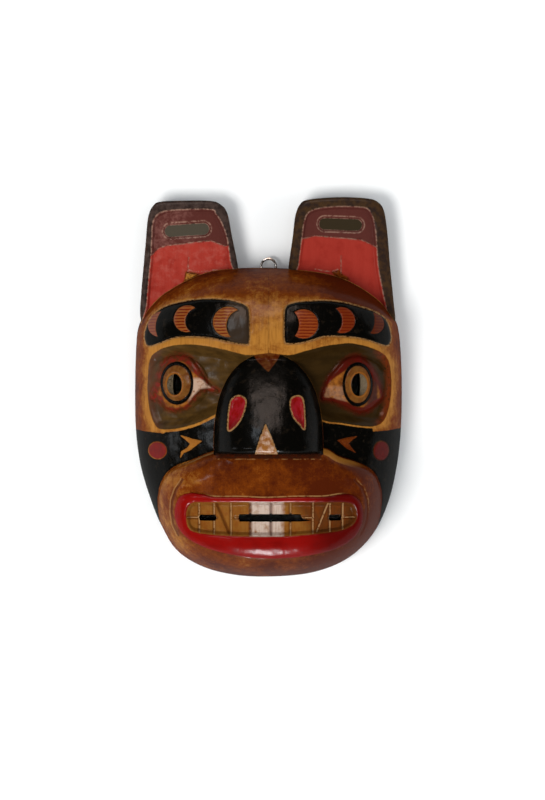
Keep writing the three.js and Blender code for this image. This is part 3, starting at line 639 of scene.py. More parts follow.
def grid_errors(points):
    """How far the surface would be off, for every grid point, if the point were left out."""
    n = points.shape[0] - 1
    normal = np.cross(np.gradient(points, axis=1), np.gradient(points, axis=0))
    normal /= np.maximum(1e-12, np.linalg.norm(normal, axis=-1, keepdims=True))
    errors = np.zeros((n + 1, n + 1))

    def off_surface(j, i, aj, ai, bj, bi):
        off = points[j, i] - 0.5 * (points[aj, ai] + points[bj, bi])
        return np.abs((off * normal[j, i]).sum(-1))

    def cover(j, i, own, around):
        worst = own
        for dj, di in around:
            jj, ii = j + dj, i + di
            known = (jj >= 0) & (jj <= n) & (ii >= 0) & (ii <= n)
            found = np.where(known, errors[np.clip(jj, 0, n), np.clip(ii, 0, n)], 0.0)
            worst = np.maximum(worst, found)
        errors[j, i] = worst

    s = 1
    while s < n:
        h = s // 2
        corners = [(h, h), (h, -h), (-h, h), (-h, -h)] if s > 1 else []
        j, i = np.meshgrid(np.arange(0, n + 1, 2 * s), np.arange(s, n, 2 * s), indexing="ij")
        cover(j, i, off_surface(j, i, j, i - s, j, i + s), corners)
        i, j = j, i
        cover(j, i, off_surface(j, i, j - s, i, j + s, i), corners)
        j, i = np.meshgrid(np.arange(s, n, 2 * s), np.arange(s, n, 2 * s), indexing="ij")
        flip = np.where(((i - s) // (2 * s) + (j - s) // (2 * s)) % 2 == 0, 1, -1) * s
        own = off_surface(j, i, j - s, i - flip, j + s, i + flip)
        cover(j, i, own, [(0, s), (0, -s), (s, 0), (-s, 0)])
        s *= 2
    return errors


def adaptive_triangles(points, tolerance, longest):
    """Halves triangles until each is no longer than so many grid steps and no left-out point is off."""
    n = points.shape[0] - 1
    errors = grid_errors(points)
    a = np.array([[0, 0], [n, n]])
    b = np.array([[n, n], [0, 0]])
    c = np.array([[n, 0], [0, n]])
    done = []
    while len(a):
        m = (a + b) // 2
        leg = np.abs(a - c).sum(1)
        split = (leg > 1) & ((errors[m[:, 1], m[:, 0]] > tolerance) | (leg > longest))
        done.append(np.stack([a[~split], c[~split], b[~split]], axis=1))
        a, b, c, m = a[split], b[split], c[split], m[split]
        a, b, c = np.concatenate([c, b]), np.concatenate([a, c]), np.concatenate([m, m])
    corners = np.concatenate(done)
    return corners[:, :, 1] * (n + 1) + corners[:, :, 0]


def closed_relief(name, centre, outline_radius, height, levels, tolerance, longest, bottom=0.0):
    """A closed mesh between the surface and a flat bottom."""
    grid = surface_grid(levels, centre, outline_radius, height)
    triangles = adaptive_triangles(grid, tolerance, longest)
    used, index = np.unique(triangles.ravel(), return_inverse=True)
    index = index.reshape(-1, 3)
    top = grid.reshape(-1, 3)[used]
    count = len(top)
    edges = np.concatenate([index[:, [0, 1]], index[:, [1, 2]], index[:, [2, 0]]])
    forward = edges[:, 0] * count + edges[:, 1]
    backward = edges[:, 1] * count + edges[:, 0]
    border = edges[~np.isin(forward, backward)]
    rim = np.unique(border)
    lower = np.full(count, -1)
    lower[rim] = count + np.arange(len(rim))
    hub = count + len(rim)
    f, t = border[:, 0], border[:, 1]
    walls = np.concatenate([np.stack([f, lower[f], t], 1), np.stack([t, lower[f], lower[t]], 1)])
    floor = np.stack([lower[f], np.full(len(f), hub), lower[t]], 1)
    under = top[rim].copy()
    under[:, 2] = bottom
    points = np.concatenate([top, under, [[centre[0], centre[1], bottom]]])
    return new_object(name, points, np.concatenate([index, walls, floor]))


def new_object(name, points, faces):
    """A mesh object from points in millimetres and triangles."""
    mesh = bpy.data.meshes.new(name)
    mesh.vertices.add(len(points))
    mesh.vertices.foreach_set("co", (np.asarray(points) * MM).astype(np.float32).ravel())
    faces = np.asarray(faces, np.int32)
    mesh.loops.add(faces.size)
    mesh.loops.foreach_set("vertex_index", faces.ravel())
    mesh.polygons.add(len(faces))
    mesh.polygons.foreach_set("loop_start", np.arange(0, faces.size, faces.shape[1], dtype=np.int32))
    mesh.update(calc_edges=True)
    made = bpy.data.objects.new(name, mesh)
    bpy.context.scene.collection.objects.link(made)
    return made


def closed_prism(name, ring, lean, bottom, top, level=0.0):
    """A closed prism over a polygon given anticlockwise; at the level it lies over the polygon."""
    ring = np.asarray(ring, float)
    n = len(ring)
    below, above = (ring + (lean * (z - level), 0.0) for z in (bottom, top))
    points = np.concatenate([np.insert(below, 2, bottom, axis=1), np.insert(above, 2, top, axis=1)])
    i, j = np.arange(n), (np.arange(n) + 1) % n
    caps = np.array(tessellate_polygon([[Vector((x, y, 0.0)) for x, y in ring]]))
    a, b, c = (ring[caps[:, k]] for k in range(3))
    clockwise = (b - a)[:, 0] * (c - a)[:, 1] < (b - a)[:, 1] * (c - a)[:, 0]
    caps[clockwise] = caps[clockwise][:, ::-1]
    faces = [np.stack([i, j, n + j], 1), np.stack([i, n + j, n + i], 1), caps[:, ::-1], caps + n]
    return new_object(name, points, np.concatenate(faces))


def tube(name, path, radius, sides):
    """A closed round bar along a path that lies flat in Z; its radius depends on the place along and round it."""
    path = np.asarray(path, float)
    n = len(path)
    tangent = np.gradient(path, axis=0)
    tangent /= np.linalg.norm(tangent, axis=1, keepdims=True)
    side = np.cross(tangent, [0.0, 0.0, 1.0])
    length = np.concatenate([[0.0], np.cumsum(np.linalg.norm(np.diff(path, axis=0), axis=1))])
    around = 2 * math.pi * np.arange(sides) / sides
    r = np.broadcast_to(radius(length[:, None], around[None, :]), (n, sides))[:, :, None]
    wheel = side[:, None, :] * np.cos(around)[None, :, None]
    wheel = wheel + np.array([0.0, 0.0, 1.0]) * np.sin(around)[None, :, None]
    points = (path[:, None, :] + r * wheel).reshape(-1, 3)
    i, k = np.meshgrid(np.arange(n - 1), np.arange(sides), indexing="ij")
    a, b = (i * sides + k).ravel(), (i * sides + (k + 1) % sides).ravel()
    faces = [np.stack([a, a + sides, b], 1), np.stack([b, a + sides, b + sides], 1)]
    k = np.arange(sides)
    first, last = np.full(sides, n * sides), np.full(sides, n * sides + 1)
    after = (k + 1) % sides
    faces += [np.stack([first, k, after], 1), np.stack([last, (n - 1) * sides + after, (n - 1) * sides + k], 1)]
    return new_object(name, np.concatenate([points, path[[0, -1]]]), np.concatenate(faces))


# Shader nodes, with lengths in millimetres

# How bright the lamps make a white sheet on the floor
LAMPLIGHT = 1.4


def colour(r, g, b, light=LAMPLIGHT):
    """The colour of a surface that looks like this on a screen, 0 to 255, under so much light."""
    seen = (((c / 255 + 0.055) / 1.055) ** 2.4 if c > 10 else c / 255 / 12.92 for c in (r, g, b))
    return tuple(c / light for c in seen) + (1.0,)


class Value:
    """What a node gives at each point. The signs of arithmetic make further nodes, and | takes the larger."""

    def __init__(self, shader, socket):
        self.shader, self.socket = shader, socket

    def __add__(self, other):
        return self.shader.math("ADD", self, other)

    def __radd__(self, other):
        return self.shader.math("ADD", other, self)

    def __mul__(self, other):
        return self.shader.math("MULTIPLY", self, other)

    def __neg__(self):
        return self * -1.0

    def __sub__(self, other):
        return self + -other

    def __rsub__(self, other):
        return self.shader.math("SUBTRACT", other, self)

    def __or__(self, other):
        return self.shader.math("MAXIMUM", self, other)

    def __abs__(self):
        return self.shader.math("ABSOLUTE", self)

    def sine(self):
        return self.shader.math("SINE", self)

    def step(self, low, high):
        """0 at low, 1 at high, smooth between."""
        inputs = {"Value": self, "From Min": low, "From Max": high}
        made = self.shader.node("ShaderNodeMapRange", inputs, interpolation_type="SMOOTHSTEP")
        return Value(self.shader, made.outputs[0])


class Shader:
    """A material and its nodes by short names."""

    def __init__(self, name):
        self.material = bpy.data.materials.new(name)
        self.material.use_nodes = True
        self.tree = self.material.node_tree
        self.tree.nodes.clear()
        object_place = Value(self, self.node("ShaderNodeTexCoord").outputs["Object"])
        scaled = self.node("ShaderNodeVectorMath", {0: object_place, "Scale": 1.0 / MM}, operation="SCALE")
        self.place = Value(self, scaled.outputs[0])
        axes = self.node("ShaderNodeSeparateXYZ", {0: self.place}).outputs
        self.x, self.y = (Value(self, axes[k]) for k in range(2))
        self.wobble = self.noise(3.0, 3) - 0.5

    def node(self, kind, inputs=None, **settings):
        """A new node with its settings, whose inputs are fed by name or number."""
        made = self.tree.nodes.new(kind)
        for key, value in settings.items():
            setattr(made, key, value)
        for key, value in (inputs or {}).items():
            if isinstance(value, Value):
                self.tree.links.new(value.socket, made.inputs[key])
            else:
                made.inputs[key].default_value = value
        return made

    def math(self, operation, *values):
        made = self.node("ShaderNodeMath", dict(enumerate(values)), operation=operation)
        return Value(self, made.outputs[0])

    def noise(self, size, detail=2.0, stretch=None, roughness=0.55):
        """Noise from 0 to 1 whose blotches are about so large, longer along an axis with a stretch over 1."""
        place = self.place
        if stretch:
            squeezed = self.node("ShaderNodeVectorMath", {0: place, 1: stretch}, operation="DIVIDE")
            place = Value(self, squeezed.outputs[0])
        inputs = {"Vector": place, "Scale": 1.0 / size, "Detail": detail, "Roughness": roughness}
        return Value(self, self.node("ShaderNodeTexNoise", inputs).outputs[0])

    def at(self, name):
        """A guide that is stored on the vertices."""
        return Value(self, self.node("ShaderNodeAttribute", attribute_name=name).outputs["Fac"])

    def uneven(self, name, ragged):
        """A guide made uneven by up to half as many millimetres."""
        return self.at(name) + self.wobble * ragged

    def within(self, name, edge=0.0, soft=0.35, ragged=0.9):
        """1 inside a painted shape, whose edge is a little uneven, as from a brush."""
        return self.uneven(name, ragged).step(edge + soft, edge - soft)

    def mix(self, factor, a, b):
        made = self.node("ShaderNodeMix", {0: factor, 6: a, 7: b}, data_type="RGBA")
        return Value(self, made.outputs[2])

    def layers(self, base, *coats):
        """Coats of colour over a base, one after another, each of them where its mask is 1."""
        for mask, tone in coats:
            base = self.mix(mask, base, tone)
        return base

    def ramp(self, value, *stops):
        """Colours at places between 0 and 1."""
        made = self.node("ShaderNodeValToRGB", {0: value})
        band = made.color_ramp.elements
        while len(band) < len(stops):
            band.new(0.5)
        for element, (place, tone) in zip(band, stops):
            element.position = place
            element.color = tone
        return Value(self, made.outputs[0])

    def finish(self, base, roughness, height, metallic=0.0, coat=0.0, coat_roughness=0.2, ior=1.45):
        """The surface itself. The height is in millimetres and only tilts the light."""
        bump = Value(self, self.node("ShaderNodeBump", {"Distance": MM, "Height": height}).outputs[0])
        shader = self.node("ShaderNodeBsdfPrincipled", {
            "Base Color": base, "Roughness": roughness, "Metallic": metallic, "Coat Weight": coat,
            "Coat Roughness": coat_roughness, "IOR": ior, "Normal": bump, "Coat Normal": bump,
        })
        self.node("ShaderNodeOutputMaterial", {"Surface": Value(self, shader.outputs[0])})
        return self.material


# Colours of the stain and the paints
DEEP_STAIN = colour(80, 28, 6)
STAIN = colour(122, 56, 8)
GOLDEN_STAIN = colour(186, 124, 50)
CUT_LINE = colour(166, 122, 74)
EAR_LINE = colour(178, 138, 118)
BLACK_PAINT = colour(8, 7, 5)
# Painted sheen on the left brow's inner end
BROW_SHEEN = colour(62, 48, 36)
NOTCH_BROWN = colour(100, 54, 20)
# Painted shadow under the nose
NOSE_SHADOW = colour(58, 28, 16)
# Worn black paint, and painted shade on the outermost right crescent
WORN_AND_SHADED_BLACK = colour(40, 31, 22)
OLIVE_PAINT = colour(88, 62, 27)
DARK_OLIVE = colour(38, 25, 8)
SOCKET_GREY = colour(84, 66, 54)
SOCKET_BROWN = colour(112, 44, 14)
ORANGE_PAINT = colour(146, 66, 24)
BRICK_RED = colour(108, 28, 6)
LID_BROWN = colour(88, 42, 18)
LID_RED = colour(124, 32, 22)
# Painted shade on the right lids
LID_SHADE = colour(80, 8, 6)
EYE_SHADE = colour(60, 26, 24)
LIP_RED = colour(138, 12, 8)
DEEP_RED = colour(96, 4, 3)
NOSTRIL_RED = colour(156, 26, 36)
SPOT_RED = colour(140, 32, 26)
SPOT_DUST = colour(86, 34, 34)
EYE_GOLD = colour(158, 94, 32)
EYE_TAN = colour(150, 94, 42)
# Pale wood, and the painted highlight in the eyes' inner corners
PALE_EYE = colour(206, 172, 148)
IRIS_GOLD = colour(120, 76, 31)
IRIS_BROWN = colour(104, 56, 20)
SLANT_WOOD = colour(122, 106, 84)
# Painted shade in the cuts through the mask
CUT_SHADE_BROWN = colour(34, 24, 16)
TOOTH_GOLD = colour(142, 92, 36)
# Painted shade on the teeth to the right
TOOTH_SHADE_BROWN = colour(92, 50, 20)
TOOTH_LINE = colour(184, 142, 96)
# Painted highlight on the front teeth
TOOTH_HIGHLIGHT = colour(206, 184, 168)
EAR_BLACK = colour(48, 36, 32)
# Painted sheen on the left ear's rim
EAR_RIM_SHEEN = colour(78, 62, 56)
EAR_RIM_BROWN = colour(74, 52, 32)
EAR_BROWN = colour(90, 44, 38)
# Dust, and a painted sheen on the left
EAR_DUST_AND_SHEEN = colour(132, 84, 76)
# Painted light on the left ear's red
EAR_LIT_PINK = colour(190, 96, 84)
EAR_RED = colour(178, 60, 48)
EAR_DEEP_RED = colour(158, 46, 36)
SLOT_GREY = colour(82, 74, 62)
SLOT_OLIVE = colour(58, 48, 33)
RAW_WOOD = colour(190, 146, 98)
RAW_DARK = colour(128, 88, 52)
# These were seen in bright light.
STEEL = colour(196, 186, 178, 1.0)
WORN_STEEL = colour(140, 124, 110, 1.0)
FLOOR_WHITE = colour(247, 247, 246, 1.0)
FLOOR_GREY = colour(243, 243, 243, 1.0)


def wood_fibres(s):
    """Fine darker streaks along the grain, which runs up the face."""
    fine = s.noise(1.3, 3, stretch=(1.0, 16.0, 3.0), roughness=0.6)
    broad = s.noise(5.0, 2, stretch=(1.0, 9.0, 3.0))
    return fine * 0.65 + broad * 0.35


def brush_ripple(s):
    """The waviness of thick varnish laid on with a brush."""
    return s.noise(4.0, 2, stretch=(1.0, 2.2, 1.0))


def stained_wood(s):
    """Varnished stain, golden where the wood stands out, partly a painted highlight, reddish dark near the edges
    and on top, with painted shade on the right.
    """
    blotch, mottle, specks = s.noise(22.0, 3), s.noise(5.0, 5, roughness=0.7), s.noise(1.1, 4, roughness=0.7)
    tone = 0.42 + (blotch - 0.5) * 1.1 + (mottle - 0.5) + (specks - 0.5) * 0.55
    near_edge, on_top = s.at("vault").step(0.62, 0.05), s.y.step(56.0, 84.0)
    tone = tone + near_edge * -0.24 + on_top * -0.08 + s.at("golden") * 0.58
    # Painted shade and light: the dome's right shoulder and the muzzle's right are darker, the muzzle's left is
    # lighter.
    shoulder = s.x.step(25.0, 80.0) * s.y.step(50.0, 64.0)
    across = -0.2 + s.x.step(8.0, 48.0) * -0.27 + s.x.step(-40.0, -76.0) * 0.34
    on_muzzle = s.y.step(-46.0, -58.0)
    tone = tone + shoulder * -0.8 + on_muzzle * across
    base = s.ramp(tone, (0.0, DEEP_STAIN), (0.42, STAIN), (0.95, GOLDEN_STAIN))
    return s.mix(wood_fibres(s).step(0.42, 0.66) * 0.3, base, DEEP_STAIN)


def black_paint(s):
    return s.mix(s.noise(5.0, 5, roughness=0.7).step(0.52, 0.8), BLACK_PAINT, WORN_AND_SHADED_BLACK)


def nose_mask(s):
    return s.within("nose", ragged=0.5)


def paint_sockets(s, base):
    """Olive sockets, darker on the right as painted shade, browner and greyer at their outer ends."""
    right = s.x.step(-1.0, 1.0)
    streaks = s.noise(6.0, 4, stretch=(2.5, 1.0, 1.0)).step(0.3, 0.7)
    outer = (abs(s.x) + s.wobble * 6.0).step(80.0, 90.0)
    band = s.uneven("socket", 4.0).step(-8.0, -3.0) * outer * (right | 0.35) * s.noise(2.2, 4).step(0.3, 0.5)
    olive = s.layers(
        OLIVE_PAINT,
        (streaks * 0.6, DARK_OLIVE),
        # Painted shade: darker on the right.
        (right * 0.75, DARK_OLIVE),
        (outer * (1.0 - right) * 0.6, SOCKET_GREY),
        (band * 0.8, SOCKET_BROWN),
    )
    return s.mix(s.within("socket", -0.8) * (1.0 - nose_mask(s)), base, olive)


def paint_eyes(s, base):
    """The lids as a soft zone of red, deeper on the right as painted shade, and the golden eyes with white painted
    highlights at their corners.
    """
    off_nose, right, away = 1.0 - nose_mask(s), s.x.step(-1.0, 1.0), abs(s.x)
    # Painted shade: the lids darker on the right.
    red = s.layers(LID_RED, (s.noise(4.0, 4).step(0.38, 0.62), LID_BROWN), (right * 0.75, LID_SHADE))
    halo = s.uneven("lids", 3.0).step(3.2, -2.6)

    # The golden wood starts further inside above the eye than below it.
    inward = -s.at("lids") + s.y.step(2.0, 15.0) * -4.2
    lower_lid = s.y.step(-8.0, -13.0) * -2.2
    outer_end = s.x.step(-80.0, -85.0) * -3.0
    bare = (inward + s.wobble * 1.6 + outer_end + right * (-0.4 + lower_lid)).step(1.4, 3.6)
    # Painted highlight: pale near the eyes' inner corners, weaker on the right.
    corner_highlight = (s.y + right * 6.0 + s.wobble * 2.0).step(8.0, 5.0) * away.step(64.0, 58.0) * (0.9 + right * -0.7)
    shade = away.step(74.0, 79.0) * away.step(87.0, 84.5) * right
    gold = s.layers(
        EYE_GOLD,
        (s.noise(5.0, 4).step(0.35, 0.65), IRIS_BROWN),
        (corner_highlight * s.noise(3.0, 3).step(0.2, 0.5), PALE_EYE),
        (shade * 0.9, EYE_SHADE),
    )
    iris = s.mix(s.noise(4.0, 4).step(0.35, 0.65), IRIS_GOLD, IRIS_BROWN)
    slant = s.mix(s.noise(1.6, 3).step(0.4, 0.7) * (0.8 + right * -0.5), SLANT_WOOD, WORN_AND_SHADED_BLACK)
    return s.layers(
        base,
        (halo * off_nose * 0.9, red),
        (bare * off_nose, gold),
        (s.within("ring", 0.3, ragged=0.5), black_paint(s)),
        (s.within("iris", -0.1, ragged=0.5), iris),
        (abs(s.at("hole") - 0.4).step(0.9, 0.3) * 0.6, EYE_GOLD),
        (s.at("hole").step(0.1, -0.7), slant),
    )


def paint_black(s, base):
    """Black cheeks, brows and nose, a painted brown sheen on the left brow's inner end, and the red spots on the
    cheeks.
    """
    on_nose = nose_mask(s)
    off_nose = 1.0 - on_nose
    notch = s.mix(s.noise(4.0, 3).step(0.35, 0.65), NOTCH_BROWN, DEEP_STAIN)
    spared = s.within("spot", 0.3, ragged=0.5) | s.within("chevron", 0.2, ragged=0.5)
    black = (s.within("cheek") * (1.0 - spared) | s.within("brow")) * off_nose
    black = black | on_nose * (1.0 - s.within("root_notch", 0.0, soft=0.5))
    # Painted sheen: brown on the left brow's inner end.
    inner_end = s.x.step(-33.0, -29.0) * s.x.step(-8.0, -12.0)
    wear_and_sheen = inner_end * s.within("brow", -0.6) * (1.0 - s.within("crescent"))
    spot, right = s.within("spot", -0.45, ragged=0.5) * off_nose, s.x.step(0.0, 1.0)
    spots = s.mix(s.noise(4.0, 3), SPOT_RED, SPOT_DUST)
    return s.layers(
        base,
        (s.within("root_notch", 0.8) * on_nose, notch),
        (black, black_paint(s)),
        (wear_and_sheen * 0.8, BROW_SHEEN),
        # Painted shade: the right spot and its edge darkened.
        (spot, s.mix(right * 0.45, spots, BLACK_PAINT)),
        (s.within("spot", 0.8) * (1.0 - spot) * right * 0.75, BLACK_PAINT),
    )


def paint_crescents(s, base):
    """Orange crescents hatched in red, paler on the left and towards the left brow's inner end as painted light,
    darker on the right as painted shade.
    """
    hatch = (s.y * 2.62 + s.wobble * 2.4).sine().step(-0.1, 0.7)
    inner = s.x.step(-44.0, -40.0) * s.x.step(-10.0, -30.0)
    crescent = s.layers(
        ORANGE_PAINT,
        # Painted light: paler on the left.
        (s.x.step(-12.0, -30.0), s.mix(s.noise(4.0, 3), ORANGE_PAINT, EYE_TAN)),
        (inner * 0.6, EYE_TAN),
        (hatch * s.within("crescent", -0.5, soft=0.7), BRICK_RED),
        # Painted shade: darker towards the right.
        (s.x.step(34.0, 48.0) * 0.6, BRICK_RED),
        (s.x.step(70.0, 78.0) * 0.5, WORN_AND_SHADED_BLACK),
        # Painted sheen: the outermost left crescent dulled.
        (s.x.step(-70.0, -78.0) * 0.5, EAR_DUST_AND_SHEEN),
    )
    return s.mix(s.within("crescent", 0.0, ragged=0.6), base, crescent)


def paint_nose(s, base):
    """The bare triangle on the nose, the red nostrils with scraped edges, and the chevrons beside it, the right
    one darkened as painted shade.
    """
    bare = s.layers(
        EYE_TAN,
        (s.noise(6.0, 3).step(0.4, 0.65), PALE_EYE),
        (wood_fibres(s).step(0.4, 0.6) * 0.35, STAIN),
    )
    nostril = s.layers(
        NOSTRIL_RED,
        (s.noise(2.5, 3, stretch=(1.0, 3.0, 1.0)).step(0.35, 0.65), LIP_RED),
        (s.y.step(-20.0, -32.0) * 0.7, DEEP_RED),
    )
    scraped = 0.34 + s.y.step(-16.0, -27.0) * 0.32
    # Painted shade: the right chevron darker than the left.
    chevrons = s.mix(s.x.step(-1.0, 1.0), GOLDEN_STAIN, DEEP_STAIN)
    return s.layers(
        base,
        (s.within("nose_triangle", 0.3, ragged=0.5) * nose_mask(s), bare),
        (s.within("nostril", 0.2, ragged=0.5) * scraped, CUT_LINE),
        (s.within("nostril", -0.3, ragged=0.6), nostril),
        (s.within("chevron", 0.2, ragged=0.5) * s.within("cheek") * 0.5, chevrons),
    )


def painted_teeth(s):
    """Wood stained gold, with a whitish painted highlight at the front and painted shade, brown, to the right."""
    front_highlight = (abs(s.x + 1.0) + s.wobble * 5.0).step(14.5, 10.5)
    light = s.at("tooth_light").step(0.9, 0.3) * s.noise(2.5, 3).step(0.3, 0.5)
    return s.layers(
        TOOTH_GOLD,
        # Painted shade: brown to the right.
        ((s.x + s.y * 0.6).step(-42.0, -26.0), TOOTH_SHADE_BROWN),
        (s.noise(5.0, 4).step(0.4, 0.7) * 0.5, STAIN),
        # Painted highlight: whitish at the front.
        (front_highlight * s.noise(6.0, 3).step(0.2, 0.5), TOOTH_HIGHLIGHT),
        (wood_fibres(s).step(0.44, 0.6) * 0.3, STAIN),
        (s.at("tooth_line").step(1.8, 0.3) * 0.6, DEEP_STAIN),
        (light * 0.85, TOOTH_LINE),
    )


def paint_mouth(s, base):
    """Red lips, darker to the right as painted shade, with the teeth between them and a light line along the upper
    lip.
    """
    red = s.layers(
        LIP_RED,
        (s.noise(14.0, 3).step(0.45, 0.8) * 0.6, DEEP_RED),
        # Painted shade: darker to the right.
        (s.x.step(20.0, 60.0) * 0.5, DEEP_RED),
        (s.x.step(22.0, 52.0) * 0.45, BLACK_PAINT),
    )
    upper = s.y.step(-90.0, -86.0) * abs(s.x - 6.0).step(56.0, 46.0)
    line = abs(s.at("lips") - 0.5).step(0.8, 0.3) * upper * s.noise(4.0, 3).step(0.3, 0.5)
    return s.layers(
        base,
        (s.within("lips"), red),
        (s.within("mouth", 0.3), painted_teeth(s)),
        (line * 0.8, CUT_LINE),
    )


def paint_cut_lines(s, base):
    """Bare wood where the paints part, partly a painted highlight, and the creases by the mouth, dark inside and
    light outside.
    """
    # Partly a painted highlight: the light lines at the brows' edges stand for bare wood and a glint.
    line = s.at("line").step(0.95, 0.35) * s.noise(1.8, 3).step(0.34, 0.56)
    left = s.x.step(1.0, -1.0)
    light_beside = abs(s.at("outside_crease") - 1.5).step(1.0, 0.2) * s.at("crease").step(2.2, 1.2)
    # Painted highlight: the light line beside each crease is made brighter on the left.
    kept = (s.noise(4.0, 3) + left * 0.16).step(0.35, 0.6)
    upper = left | s.y.step(-104.0, -90.0)
    return s.layers(
        base,
        (line * 0.85, CUT_LINE),
        (s.uneven("crease", 0.6).step(1.3, 0.2) * 0.7, DEEP_STAIN),
        (light_beside * kept * upper * (0.42 + left * 0.2), CUT_LINE),
    )


def paint_muzzle_edge(s, base):
    """The muzzle's worn edge, wider on the right, a painted shadow under the nose with a painted glint line below
    it, and a painted golden highlight along the ears' foot.
    """
    right = s.x.step(-1.0, 1.0)
    half = 0.5 + right * 1.6
    edge = (abs(s.uneven("muzzle", 0.8) + half) - half).step(0.4, -0.3)
    edge = edge * (1.0 - nose_mask(s)) * s.y.step(-64.0, -56.0)
    # Painted shadow under the nose's end, and a painted glint line below it.
    under = s.uneven("nose", 0.8)
    foot = s.y.step(-46.0, -49.0) * abs(s.x).step(42.0, 39.0)
    nose_shadow_strip = under.step(-1.8, -1.0) * under.step(3.0, 1.6) * foot
    glint_line = abs(under - 2.8).step(0.6, 0.2) * s.noise(3.0, 4).step(0.46, 0.6) * foot
    # Painted highlight: golden along the ears' foot where they meet the dome.
    ear_foot = s.uneven("above_ear", 1.5).step(3.4, 2.2) * s.noise(3.0, 3).step(0.25, 0.5)
    return s.layers(
        base,
        (edge * 0.7, s.mix(right, CUT_LINE, GOLDEN_STAIN)),
        (nose_shadow_strip, s.mix(s.noise(3.0, 4).step(0.4, 0.7), NOSE_SHADOW, DEEP_STAIN)),
        (glint_line * 0.55, CUT_LINE),
        (ear_foot * 0.8, GOLDEN_STAIN),
    )


def painted_face():
    s = Shader("painted_face")
    base = stained_wood(s)
    for paint in (paint_sockets, paint_eyes, paint_black, paint_crescents, paint_nose, paint_mouth,
                  paint_cut_lines, paint_muzzle_edge):
        base = paint(s, base)
    height = wood_fibres(s) * 0.08 + brush_ripple(s) * 0.16
    roughness = 0.30 + s.noise(9.0, 4).step(0.2, 0.9) * 0.22
    return s.finish(base, roughness, height, coat=0.11, coat_roughness=0.22, ior=1.0)


def painted_ear():
    s = Shader("painted_ear")
    right = s.x.step(-5.0, 5.0)
    # Painted sheen: the left ear's rim is greyer, the right one browner.
    rim_sheen_and_brown = s.mix(right, EAR_RIM_SHEEN, EAR_RIM_BROWN)
    rim = s.mix(s.noise(6.0, 5, roughness=0.7).step(0.35, 0.65), EAR_BLACK, rim_sheen_and_brown)
    # Dust and a painted sheen: paler patches on the left ear's outer side.
    dust_and_sheen = s.noise(6.0, 5, roughness=0.7).step(0.35, 0.7) * s.x.step(-46.0, -78.0)
    brown = s.mix(dust_and_sheen | s.noise(2.0, 4) * 0.15, EAR_BROWN, EAR_DUST_AND_SHEEN)
    # Painted light: paler pink blotches on the left ear's red.
    lit_left_pink = s.noise(7.0, 5, roughness=0.7).step(0.42, 0.7) * (1.0 - right)
    red = s.layers(
        EAR_RED,
        (s.noise(9.0, 4, roughness=0.6).step(0.45, 0.75), EAR_DEEP_RED),
        # Painted shade: deeper red on the right ear.
        (right * 0.4, EAR_DEEP_RED),
        (lit_left_pink * 0.55, EAR_LIT_PINK),
        (wood_fibres(s).step(0.45, 0.6) * 0.25, EAR_DEEP_RED),
    )
    fold = s.layers(
        s.mix(right, GOLDEN_STAIN, STAIN),
        (s.at("fold").step(-2.0, -0.2), STAIN),
        (s.noise(2.0, 3).step(0.4, 0.7), DEEP_STAIN),
    )
    broken = s.noise(3.0, 4, roughness=0.65).step(0.36, 0.62)
    # Painted highlight: a light line where the ear meets the dome.
    join_highlight = s.uneven("ear_join", 1.0).step(-1.6, -0.8) * broken
    line = s.at("ear_line").step(0.8, 0.3) * broken * (0.7 + right * -0.15)
    wear_and_sheen = s.at("ear").step(-2.2, -0.4) * s.noise(4.0, 5, roughness=0.7).step(0.55, 0.7)
    base = s.layers(
        rim,
        (s.within("panel"), s.mix(s.uneven("divide", 0.9).step(-0.3, 0.3), red, brown)),
        (s.within("slot", -1.3), s.mix(right, SLOT_GREY, SLOT_OLIVE)),
        (s.within("fold", 0.3, soft=1.0, ragged=2.5), fold),
        (join_highlight * 0.8, CUT_LINE),
        (line, EAR_LINE),
        (wear_and_sheen * 0.5, STAIN),
    )
    height = wood_fibres(s) * 0.10 + brush_ripple(s) * 0.15
    roughness = 0.34 + s.noise(8.0, 4) * 0.2
    return s.finish(base, roughness, height, coat=0.06, coat_roughness=0.25, ior=1.0)


def raw_wood():
    s = Shader("raw_wood")
    fibres = wood_fibres(s)
    rings = (s.x * 0.9 + s.noise(40.0, 2, stretch=(1.0, 3.0, 1.0)) * 26.0).sine()
    base = s.layers(
        RAW_WOOD,
        (fibres.step(0.38, 0.64), RAW_DARK),
        (s.noise(30.0, 4).step(0.4, 0.7) * 0.5, STAIN),
        (rings.step(0.3, 1.0) * 0.3, RAW_DARK),
    )
    height = fibres * 0.25 + s.noise(6.0, 2, stretch=(1.0, 2.0, 1.0)) * 0.12
    return s.finish(base, 0.58 + s.noise(5.0, 3) * 0.2, height, ior=1.4)


# Painted shade: the cut walls of the eyes and the mouth are almost black, for the dark inside the hollow.
def shaded_cut_wood():
    s = Shader("shaded_cut_wood")
    fibres = wood_fibres(s)
    base = s.mix(fibres.step(0.4, 0.62), CUT_SHADE_BROWN, BLACK_PAINT)
    base = s.mix(s.noise(3.0, 4).step(0.4, 0.66), base, BLACK_PAINT)
    height = fibres * 0.2 + s.noise(2.5, 3) * 0.2
    return s.finish(base, 0.6 + s.noise(4.0, 3) * 0.25, height, ior=1.0)


def plated_steel():
    s = Shader("plated_steel")
    scuffed = s.noise(1.2, 4, roughness=0.7).step(0.45, 0.75)
    height = s.noise(0.5, 3) * 0.03 + s.noise(2.5, 2) * 0.04
    return s.finish(s.mix(scuffed, STEEL, WORN_STEEL), 0.24 + scuffed * 0.2, height, metallic=1.0)


# The mask

